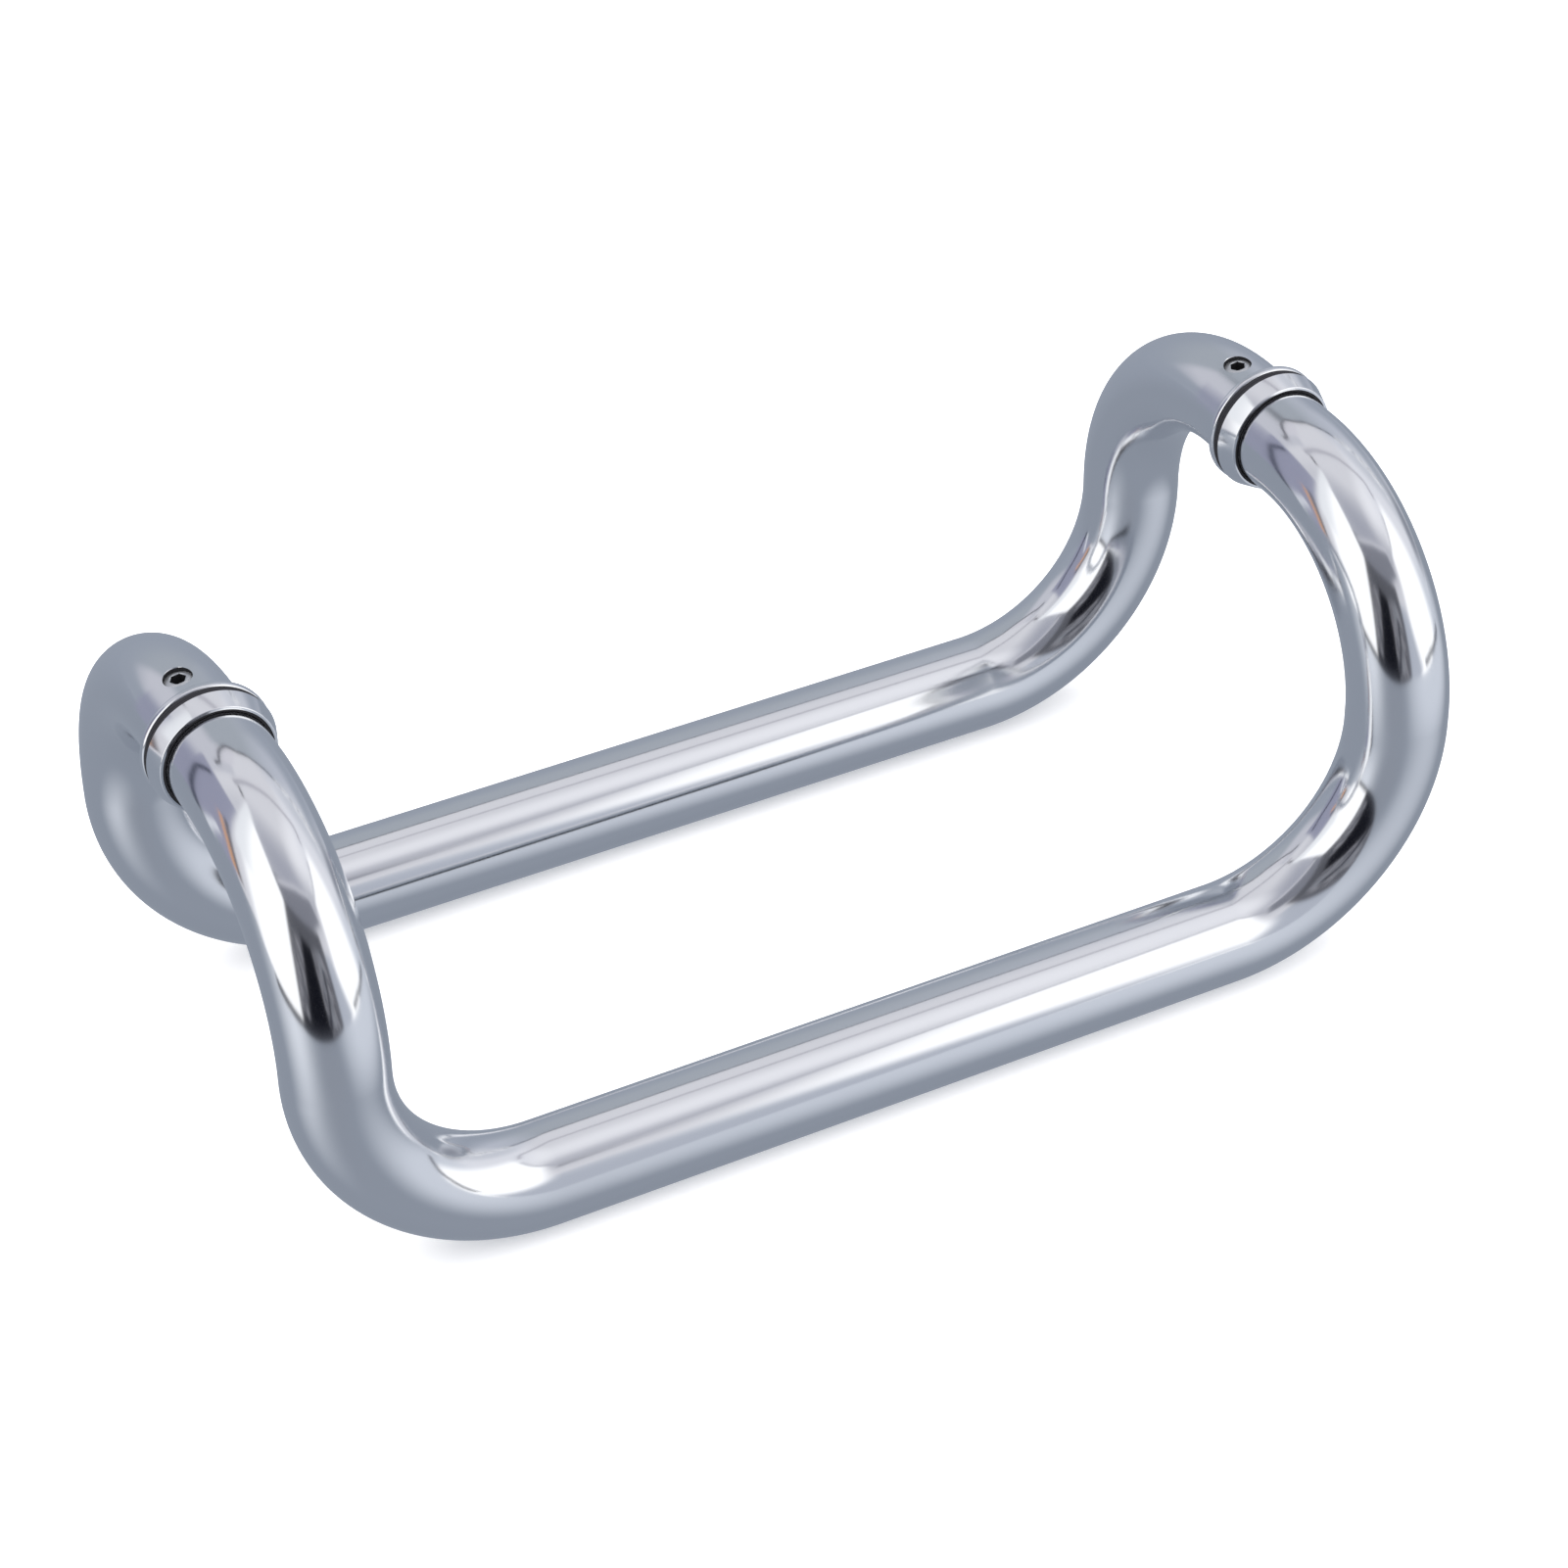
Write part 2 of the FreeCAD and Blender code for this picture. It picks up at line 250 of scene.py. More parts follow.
@dataclass(frozen=True)
class Finish:
    """A finish whose roughness and fine relief vary over the surface.

    Attributes:
        name: Name of the material.
        colour: Linear base colour.
        metallic: 1 for metal, 0 for rubber and plastic.
        roughness: Lowest and highest roughness.
        patch: Size of the patches of different roughness, in metres.
        grain: Size of the fine relief, in metres.
        relief: Height of the fine relief, in metres.
        stretch: How much the grain is drawn out along X, Y and Z.
        shine: Specular level; 0.5 is usual.
    """

    name: str
    colour: Rgba
    metallic: float
    roughness: tuple[float, float]
    patch: float
    grain: float
    relief: float
    stretch: tuple[float, float, float] = (1.0, 1.0, 1.0)
    shine: float = 0.5

    def material(self) -> bpy.types.Material:
        """Build the finish's material, unless it is there already.

        Returns:
            The material.
        """
        known = bpy.data.materials.get(self.name)
        if known:
            return known
        made, graph = new_material(self.name)
        patches = graph.noise(graph.place(), 1 / self.patch, PATCH_DETAIL)
        drawn_out = graph.add("ShaderNodeMapping", {"Vector": graph.place(), "Scale": self.stretch})
        grain = graph.noise(drawn_out.outputs["Vector"], 1 / self.grain, GRAIN_DETAIL)
        bump = graph.add("ShaderNodeBump", {"Strength": 1.0, "Distance": self.relief, "Height": grain})
        graph.fill(made.node_tree.nodes["Principled BSDF"], {
            "Base Color": self.colour, "Metallic": self.metallic, "Specular IOR Level": self.shine,
            "Roughness": graph.spread(patches, *NOISE_SPAN, *self.roughness),
            "Normal": bump.outputs["Normal"]})
        return made


CHROME = Finish("polished_chrome", (0.9, 0.905, 0.92, 1), 1.0, (0.005, 0.02), 0.03, 0.02, 1.5e-6)
RUBBER = Finish("black_rubber", (0.004, 0.004, 0.006, 1), 0.0, (0.42, 0.6), 0.004, 0.0004, 1.2e-5,
                shine=0.0)
STEEL = Finish("turned_steel", (0.56, 0.56, 0.57, 1), 1.0, (0.22, 0.38), 0.006, 0.0005, 6e-6,
               stretch=(1, 0.05, 1))
SCREW = Finish("screw_steel", (0.93, 0.94, 0.96, 1), 1.0, (0.05, 0.14), 0.002, 0.0003, 2e-6)
# Painted shade: a near-black finish put only on the faces inside the key socket and on the wall of each
# drilled screw hole, where shade falls.
RECESS_SHADE = Finish("painted_recess_shade", (0.03, 0.03, 0.034, 1), 0.6, (0.4, 0.6), 0.002, 0.0003, 3e-6)
NYLON = Finish("white_nylon", (0.74, 0.72, 0.66, 1), 0.0, (0.4, 0.5), 0.005, 0.0006, 5e-6)
INNER_FINISHES = {
    "front_tube_plug": STEEL, "hole_sleeve": NYLON, "clamp_stud": STEEL, "rear_tube_insert": STEEL,
}


@dataclass
class Route:
    """Centre line of a bent tube: straight runs joined by quarter bends.

    Attributes:
        corners: Sharp corners of the route, in order.
        bend_radius: Radius of every bend.
    """

    corners: list[Vector]
    bend_radius: float

    def pieces(self) -> tuple[list[tuple[Vector, Vector]], list[tuple[Vector, Vector, Vector]]]:
        """Split the route into its runs and bends.

        Returns:
            The straight runs as two ends, and the bends as centre, first and last direction.
        """
        runs, bends, start = [], [], self.corners[0]
        for before, corner, after in zip(self.corners, self.corners[1:], self.corners[2:]):
            came, goes = (corner - before).normalized(), (after - corner).normalized()
            bend_start = corner - came * self.bend_radius
            bend_end = corner + goes * self.bend_radius
            runs.append((start, bend_start))
            bends.append((bend_start + goes * self.bend_radius, -goes, came))
            start = bend_end
        runs.append((start, self.corners[-1]))
        return runs, bends

    def nearest(self, points: np.ndarray) -> np.ndarray:
        """Nearest points of the centre line.

        Args:
            points: Rows of x, y, z.

        Returns:
            One row for each point.
        """
        best = np.full(len(points), np.inf)
        found = np.zeros_like(points)
        runs, bends = self.pieces()
        offers = []
        for first, last in runs:
            start, along = np.array(first), np.array(last - first)
            share = np.clip((points - start) @ along / (along @ along), 0, 1)
            offers.append(start + share[:, None] * along)
        for centre, first, last in bends:
            middle, one, two = np.array(centre), np.array(first), np.array(last)
            turn = np.arctan2((points - middle) @ two, (points - middle) @ one)
            nearer_end = turn < -0.75 * np.pi  # past the far side, so nearer to the bend's last point
            turn = np.where(nearer_end, np.pi / 2, np.clip(turn, 0, np.pi / 2))[:, None]
            offers.append(middle + self.bend_radius * (np.cos(turn) * one + np.sin(turn) * two))
        for offer in offers:
            distance = np.linalg.norm(points - offer, axis=1)
            closer = distance < best
            best[closer] = distance[closer]
            found[closer] = offer[closer]
        return found


def scene_object(name: str, data: bpy.types.ID) -> bpy.types.Object:
    """Put a mesh, a lamp or a camera in the scene.

    Args:
        name: Name of the object.
        data: What it shows.

    Returns:
        The object, at the origin.
    """
    made = bpy.data.objects.new(name, data)
    bpy.context.scene.collection.objects.link(made)
    return made


def mesh_of(shell: bmesh.types.BMesh, name: str) -> bpy.types.Mesh:
    """Turn a finished shell into a mesh.

    Args:
        shell: The shell, which is freed.
        name: Name of the mesh.

    Returns:
        The mesh.
    """
    mesh = bpy.data.meshes.new(name)
    shell.to_mesh(mesh)
    shell.free()
    return mesh


def keep_edges(mesh: bpy.types.Mesh, degrees: float) -> None:
    """Shade a mesh smoothly, but keep the edges crisp that turn by more than an angle."""
    mesh.shade_smooth()
    mesh.set_sharp_from_angle(angle=math.radians(degrees))


def rows(items: bpy.types.bpy_prop_collection, name: str, columns: int, kind: type) -> np.ndarray:
    """Read one attribute of many items of a mesh.

    Args:
        items: The mesh's points, corners or faces.
        name: Name of the attribute.
        columns: How many numbers it has.
        kind: Kind of the numbers.

    Returns:
        One row for each item.
    """
    numbers = np.empty(len(items) * columns, kind)
    items.foreach_get(name, numbers)
    return numbers.reshape(-1, columns)


def finished(made: bpy.types.Object, finish: Finish, node: str) -> None:
    """Dress a piece and say which CAD node it stands for.

    Args:
        made: The piece.
        finish: Its finish.
        node: CAD node that it replaces.
    """
    if not made.data.materials:
        made.data.materials.append(finish.material())
    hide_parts(node)
    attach(made, "root")
    LOG.info("%s: %d faces", made.name, len(made.data.polygons))


def evaluated_mesh(made: bpy.types.Object) -> bpy.types.Mesh:
    """Apply an object's modifiers.

    Args:
        made: The object, which loses its modifiers.

    Returns:
        A new mesh.
    """
    bpy.context.view_layer.update()
    graph = bpy.context.evaluated_depsgraph_get()
    mesh = bpy.data.meshes.new_from_object(made.evaluated_get(graph))
    made.modifiers.clear()
    return mesh


def cut_away(made: bpy.types.Object, cutter: bpy.types.Object, finish: Finish) -> None:
    """Cut one solid out of another and remove the cutter.

    Args:
        made: The piece to cut; it has its own finish already.
        cutter: The solid to take away from it.
        finish: Finish of the cut faces.
    """
    cutter.data.materials.append(finish.material())
    modifier = made.modifiers.new("cut", "BOOLEAN")
    modifier.operation, modifier.solver = "DIFFERENCE", "EXACT"
    modifier.material_mode = "TRANSFER"
    modifier.object = cutter
    made.data = evaluated_mesh(made)
    bpy.data.objects.remove(cutter)


def turned(name: str, profile: Outline, steps: int = 160) -> bpy.types.Object:
    """Solid of revolution about Z.

    Args:
        name: Name of the object.
        profile: Closed outline as (radius, height) points, in order; a radius of 0 is a pole.
        steps: Number of faces round it.

    Returns:
        The object, with its faces outwards.
    """
    shell = bmesh.new()
    angles = [2 * math.pi * step / steps for step in range(steps)]
    rings = [[shell.verts.new((radius * math.cos(angle), radius * math.sin(angle), height))
              for angle in (angles if radius else angles[:1])] for radius, height in profile]
    for first, second in zip(rings, rings[1:] + rings[:1]):
        if len(first) == len(second) == 1:
            continue
        for step in range(steps):
            places = ((first, step), (second, step), (second, step + 1), (first, step + 1))
            corners = dict.fromkeys(ring[place % len(ring)] for ring, place in places)
            shell.faces.new(list(corners))
    bmesh.ops.recalc_face_normals(shell, faces=shell.faces)
    return scene_object(name, mesh_of(shell, name))


def rounded(corner: tuple[float, float], before: tuple[float, float], after: tuple[float, float],
            radius: float, steps: int = 6) -> Outline:
    """Points of a round in place of an outline's corner.

    Args:
        corner: The corner.
        before: The outline's point before it.
        after: The outline's point after it.
        radius: Radius of the round.
        steps: Number of faces across the round.

    Returns:
        The round's points, in order.
    """
    middle, first, last = Vector(corner), Vector(before), Vector(after)
    came, goes = (first - middle).normalized(), (last - middle).normalized()
    half = came.angle(goes) / 2
    centre = middle + (came + goes).normalized() * (radius / math.sin(half))
    start = middle + came * (radius / math.tan(half)) - centre
    end = middle + goes * (radius / math.tan(half)) - centre
    turn = start.angle(end)
    points = []
    for step in range(steps + 1):
        share = step / steps
        arm = start * math.sin((1 - share) * turn) + end * math.sin(share * turn)
        points.append(tuple(centre + arm / math.sin(turn)))
    return points


def softened(outline: Outline, rounds: dict[int, float]) -> Outline:
    """Outline with some of its corners rounded.

    Args:
        outline: Closed outline.
        rounds: Radius for each corner to round, by its place in the outline.

    Returns:
        The new outline.
    """
    points = []
    for place, corner in enumerate(outline):
        if place in rounds:
            before, after = outline[place - 1], outline[(place + 1) % len(outline)]
            points.extend(rounded(corner, before, after, rounds[place]))
        else:
            points.append(corner)
    return points


def hexagon_bar(name: str, across: float, low: float, high: float) -> bpy.types.Object:
    """Hexagonal bar along Z, used as a cutter for a key socket.

    Args:
        name: Name of the object.
        across: Width across its flats.
        low: Height of its lower end.
        high: Height of its upper end.

    Returns:
        The bar.
    """
    shell = bmesh.new()
    angles = [math.radians(60 * turn) for turn in range(6)]
    corner = across / math.sqrt(3)
    lower, upper = ([shell.verts.new((corner * math.cos(angle), corner * math.sin(angle), height))
                     for angle in angles] for height in (low, high))
    shell.faces.new(lower[::-1])
    shell.faces.new(upper)
    for turn in range(6):
        after = (turn + 1) % 6
        shell.faces.new([lower[turn], lower[after], upper[after], upper[turn]])
    return scene_object(name, mesh_of(shell, name))


def box_object(name: str, *sides: float) -> bpy.types.Object:
    """Box about the origin, used as a cutter for a flat.

    Args:
        name: Name of the object.
        *sides: Its sides along X, Y and Z.

    Returns:
        The box.
    """
    shell = bmesh.new()
    bmesh.ops.create_cube(shell, size=1.0)
    bmesh.ops.scale(shell, vec=sides, verts=shell.verts)
    return scene_object(name, mesh_of(shell, name))


def seat(made: bpy.types.Object, matrix: Matrix) -> bpy.types.Object:
    """Move a piece's mesh to its place, so that its object stays at the origin.

    Args:
        made: The piece.
        matrix: Its place.

    Returns:
        The piece.
    """
    made.data.transform(matrix)
    made.data.update()
    return made


@dataclass
class ScrewAxis:
    """Where the set screw of one fixing lies.

    Attributes:
        fixing: Point of the fixing's axis under the screw.
        lean: Angle from straight up towards +X, in radians.
    """

    fixing: Vector
    lean: float

    def matrix(self, height: float = 0.0) -> Matrix:
        """Place of a piece made along +Z, raised along the screw's axis."""
        raised = Matrix.Translation((0, 0, height))
        return Matrix.Translation(self.fixing) @ Matrix.Rotation(self.lean, 4, "Y") @ raised


@dataclass
class Sizes:
    """Sizes that the pieces share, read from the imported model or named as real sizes.

    Attributes:
        bend_radius: Radius of the tubes' bends, at their centre line.
        wall: Wall of the tubes.
        screw_lean: Angle of the set screws from straight up towards +X, in radians.
        tube_radius: Outer radius of the tubes.
        half_spacing: From the middle to each fixing.
        grip_z: Height of the grips' centre lines.
    """

    bend_radius: float = 42 * MM
    wall: float = 1.5 * MM
    screw_lean: float = math.radians(-8)
    tube_radius: float = field(init=False)
    half_spacing: float = field(init=False)
    grip_z: float = field(init=False)

    def __post_init__(self) -> None:
        """Read the tube's radius, the spacing and the grips' height from the front tube."""
        low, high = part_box("front_handle_tube")
        self.tube_radius = high.z
        self.half_spacing = high.x - high.z
        self.grip_z = low.z + high.z

    def along_y(self, side: Side) -> Matrix:
        """Place of a piece made along +Z, turned to run along +Y on a fixing's axis."""
        x = side.value * self.half_spacing
        return Matrix.Translation((x, 0, 0)) @ Matrix.Rotation(math.radians(-90), 4, "X")


def bent_tube_tree() -> bpy.types.NodeTree:
    """Geometry nodes that sweep a tube along an edge path with rounded corners.

    Returns:
        The tree. Its inputs are the path, the bend radius, the tube's radius, the number of faces
        in each bend and round the tube, and the material.
    """
    graph = new_group("bent_tube", "Geometry", {
        "Path": "Geometry", "Bend Radius": "Float", "Tube Radius": "Float", "Bend Steps": "Int",
        "Round Steps": "Int", "Finish": "Material"}, {"Tube": "Geometry"})
    given = graph.add("NodeGroupInput").outputs
    line = graph.add("GeometryNodeMeshToCurve", {"Mesh": given["Path"]})
    bends = graph.add("GeometryNodeFilletCurve", {
        "Curve": line.outputs["Curve"], "Radius": given["Bend Radius"],
        "Count": given["Bend Steps"]}, mode="POLY")
    circle = graph.add("GeometryNodeCurvePrimitiveCircle", {
        "Resolution": given["Round Steps"], "Radius": given["Tube Radius"]}, mode="RADIUS")
    sweep = graph.add("GeometryNodeCurveToMesh", {
        "Curve": bends.outputs["Curve"], "Profile Curve": circle.outputs["Curve"]})
    real = graph.add("GeometryNodeRealizeInstances", {"Geometry": sweep.outputs["Mesh"]})
    dressed = graph.add("GeometryNodeSetMaterial", {
        "Geometry": real.outputs["Geometry"], "Material": given["Finish"]})
    graph.add("NodeGroupOutput", {"Tube": dressed.outputs["Geometry"]})
    return graph.tree


def set_inputs(modifier: bpy.types.NodesModifier, values: dict[str, object]) -> None:
    """Set a geometry nodes modifier's inputs.

    Args:
        modifier: The modifier.
        values: Values by the inputs' names in the tree.
    """
    for item in modifier.node_group.interface.items_tree:
        if item.in_out == "INPUT" and item.name in values:
            modifier[item.identifier] = values[item.name]


@dataclass
class HandleTube:
    """One bent tube with its grip.

    Attributes:
        node: CAD node that it stands for.
        face: Side of the glass that it is on.
        sizes: Shared sizes.
        tree: The sweep's geometry nodes.
        screws: Axes of the set screws to drill for.
        bend_steps: Points in each bend.
        round_steps: Faces round the tube.
        countersink: Depth of the countersink of a set screw hole.
        screw_hole_radius: Radius of a set screw hole.
    """

    node: str
    face: Face
    sizes: Sizes
    tree: bpy.types.NodeTree
    screws: list[ScrewAxis]
    bend_steps: int = 64
    round_steps: int = 112
    countersink: float = 0.2 * MM
    screw_hole_radius: float = 3.05 * MM

    def route(self) -> Route:
        """Read the tube's centre line from the CAD node's box.

        Returns:
            The centre line.
        """
        low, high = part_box(self.node)
        radius = self.sizes.tube_radius
        grip_y = high.y - radius if self.face is Face.REAR else low.y + radius
        seat_y = low.y if self.face is Face.REAR else high.y
        corners = []
        for side in Side:
            x = side.value * self.sizes.half_spacing
            leg = [Vector((x, y, z)) for y, z in ((seat_y, 0), (grip_y, 0), (grip_y, self.sizes.grip_z))]
            corners.extend(leg if side is Side.LEFT else leg[::-1])
        return Route(corners, self.sizes.bend_radius)

    def shell(self, radius: float) -> bpy.types.Mesh:
        """Sweep one open-ended skin of the tube.

        Args:
            radius: Radius of the skin.

        Returns:
            The skin.
        """
        path = bpy.data.meshes.new("path")
        corners = [tuple(corner) for corner in self.route().corners]
        path.from_pydata(corners, [(place, place + 1) for place in range(len(corners) - 1)], [])
        carrier = scene_object("path", path)
        modifier = carrier.modifiers.new("tube", "NODES")
        modifier.node_group = self.tree
        set_inputs(modifier, {
            "Bend Radius": self.sizes.bend_radius, "Tube Radius": radius, "Bend Steps": self.bend_steps,
            "Round Steps": self.round_steps, "Finish": CHROME.material()})
        mesh = evaluated_mesh(carrier)
        bpy.data.objects.remove(carrier)
        return mesh

    def hollow(self) -> bpy.types.Object:
        """Join the outer and inner skins at the tube's two ends.

        Returns:
            The hollow tube.
        """
        mesh = self.shell(self.sizes.tube_radius)
        tube = bmesh.new()
        tube.from_mesh(mesh)
        tube.from_mesh(self.shell(self.sizes.tube_radius - self.sizes.wall))
        tube.verts.index_update()
        points = list(tube.verts)
        half = len(points) // 2
        for edge in [edge for edge in tube.edges if edge.is_boundary and edge.verts[0].index < half]:
            first, second = (point.index for point in edge.verts)
            tube.faces.new([points[first], points[second], points[second + half], points[first + half]])
        bmesh.ops.recalc_face_normals(tube, faces=tube.faces)
        tube.to_mesh(mesh)
        tube.free()
        return scene_object(self.node + "_polished", mesh)

    def drill(self, tube: bpy.types.Object) -> None:
        """Cut the countersunk set screw holes.

        Args:
            tube: The tube.
        """
        outside, radius = self.sizes.tube_radius, self.screw_hole_radius
        low = outside - 2 * self.sizes.wall
        cone, top = outside - self.countersink, outside + self.countersink
        bevel = [(0, cone), (radius, cone), (radius + top - cone, top), (0, top)]
        hole = [(0, low), (radius, low), (radius, top), (0, top)]
        for screw in self.screws:
            # The drilled hole's wall gets painted shade: the near-black recess finish.
            for name, outline, finish in (("countersink", bevel, CHROME), ("drill", hole, RECESS_SHADE)):
                cut_away(tube, seat(turned(name, outline, HOLE_STEPS), screw.matrix()), finish)

    def true_normals(self, mesh: bpy.types.Mesh) -> None:
        """Give the tube's skins the exact normals of a round tube, so that reflections run smoothly.

        Args:
            mesh: The finished tube's mesh.
        """
        keep_edges(mesh, TUBE_EDGE)
        normals = rows(mesh.corner_normals, "vector", 3, np.float32).astype(float)
        places = rows(mesh.vertices, "co", 3, float)
        outwards = places - self.route().nearest(places)
        outwards /= np.linalg.norm(outwards, axis=1)[:, None]
        radial = outwards[rows(mesh.loops, "vertex_index", 1, np.int32)[:, 0]]
        corners_of_face = rows(mesh.polygons, "loop_total", 1, np.int32)[:, 0]
        facing = np.repeat(rows(mesh.polygon_normals, "vector", 3, np.float32), corners_of_face, axis=0)
        agreement = (facing * radial).sum(1)
        for sign in (1, -1):
            skin = sign * agreement > SKIN_AGREEMENT
            normals[skin] = sign * radial[skin]
        mesh.normals_split_custom_set(normals.tolist())

    def build(self) -> None:
        """Build and dress the tube."""
        tube = self.hollow()
        self.drill(tube)
        self.true_normals(tube.data)
        finished(tube, CHROME, self.node)


@dataclass
class ClampPost:
    """Post that clamps the rear face of the glass; its flange shows as a bright ring.

    Attributes:
        side: Which fixing it belongs to.
        sizes: Shared sizes.
        screw: Axis of the set screw that bears on it.
        radius: Radius of the post behind the flange.
        bore: Radius of the stud's hole.
        end_wall: Wall past the end of the hole's full bore.
        end_chamfer: Chamfer at the post's rear end.
        flange_round: Round of the flange's two edges.
        groove_depth: Depth of the groove for the set screw.
        groove_half: Half the width of the groove's floor.
        flat_depth: Depth of the two spanner flats.
        flat_length: Length of the flats along the post.
    """

    side: Side
    sizes: Sizes
    screw: ScrewAxis
    radius: float = 6.0 * MM
    bore: float = 4.05 * MM
    end_wall: float = 3.0 * MM
    end_chamfer: float = 0.8 * MM
    flange_round: float = 0.7 * MM
    groove_depth: float = 0.6 * MM
    groove_half: float = 1.7 * MM
    flat_depth: float = 1.0 * MM
    flat_length: float = 4.5 * MM

    def outline(self, node: str, seat_y: float) -> Outline:
        """Outline of the post, with the flange's edges rounded.

        Args:
            node: CAD node that it stands for.
            seat_y: Where the rear tube's end bears on the flange.

        Returns:
            The outline as (radius, y) points.
        """
        low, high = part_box(node)
        screw_y = self.screw.fixing.y
        floor, slope = self.radius - self.groove_depth, self.groove_half + self.groove_depth
        bore_end = high.y - self.end_wall
        outline = [(0, bore_end + self.bore / 2), (self.bore, bore_end), (self.bore, low.y),
                   (high.z, low.y), (high.z, seat_y), (self.radius, seat_y),
                   (self.radius, screw_y - slope), (floor, screw_y - self.groove_half),
                   (floor, screw_y + self.groove_half), (self.radius, screw_y + slope),
                   (self.radius, high.y - self.end_chamfer), (self.radius - self.end_chamfer, high.y),
                   (0, high.y)]
        return softened(outline, {3: self.flange_round, 4: self.flange_round})

    def build(self) -> None:
        """Build and dress the post."""
        node, seat_y = named("rear_post", self.side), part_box("rear_handle_tube")[0].y
        post = turned(node + "_polished", self.outline(node, seat_y))
        seat(post, self.sizes.along_y(self.side))
        post.data.materials.append(CHROME.material())
        for way in (-1, 1):
            flat = box_object("flat", 2 * self.radius, self.flat_length, self.flat_depth)
            middle = way * (self.radius - self.flat_depth / 2)
            place = (self.side.value * self.sizes.half_spacing, seat_y + self.flat_length / 2, middle)
            cut_away(post, seat(flat, Matrix.Translation(place)), CHROME)
        keep_edges(post.data, TURNED_EDGE)
        finished(post, CHROME, node)


@dataclass
class SetScrew:
    """Headless socket screw that holds the rear tube on its post.

    Attributes:
        side: Which fixing it belongs to.
        axis: Its axis.
        start: Radius from the fixing's axis at which its point bears.
        radius: Radius of the screw.
        length: Its length.
        chamfer: Width of the slope round its outer end.
        crown: Fall of that slope.
        point: Radius of the rim of its cup point.
        rim: Width of that rim.
        cup: Depth of the cup.
        key_across: Width of the key socket across its flats.
        key_depth: Depth of the socket.
        mouth: Width of the bevel round the socket's mouth.
    """

    side: Side
    axis: ScrewAxis
    start: float = 5.4 * MM
    radius: float = 3.0 * MM
    length: float = 5.0 * MM
    chamfer: float = 1.1 * MM
    crown: float = 0.5 * MM
    point: float = 1.5 * MM
    rim: float = 0.2 * MM
    cup: float = 0.7 * MM
    key_across: float = 3.0 * MM
    key_depth: float = 2.6 * MM
    mouth: float = 0.1 * MM

    def build(self) -> None:
        """Build and dress the screw."""
        node = named("set_screw", self.side)
        outline = [(0, self.cup), (self.point - self.rim, 0), (self.point, 0),
                   (self.radius, self.radius - self.point), (self.radius, self.length - self.crown),
                   (self.radius - self.chamfer, self.length), (0, self.length)]
        screw = turned(node + "_turned", outline, SCREW_STEPS)
        screw.data.materials.append(SCREW.material())
        corner = self.key_across / math.sqrt(3)
        low, high = self.length - self.mouth, self.length + self.mouth
        bevel = [(0, low), (corner - self.mouth, low), (corner + self.mouth, high), (0, high)]
        cut_away(screw, turned("mouth", bevel, SCREW_STEPS), SCREW)
        socket = hexagon_bar("socket", self.key_across, self.length - self.key_depth, high)
        # The key socket's faces get painted shade: the near-black recess finish.
        cut_away(screw, socket, RECESS_SHADE)
        seat(screw, self.axis.matrix(self.start))
        keep_edges(screw.data, SCREW_EDGE)
        finished(screw, SCREW, node)


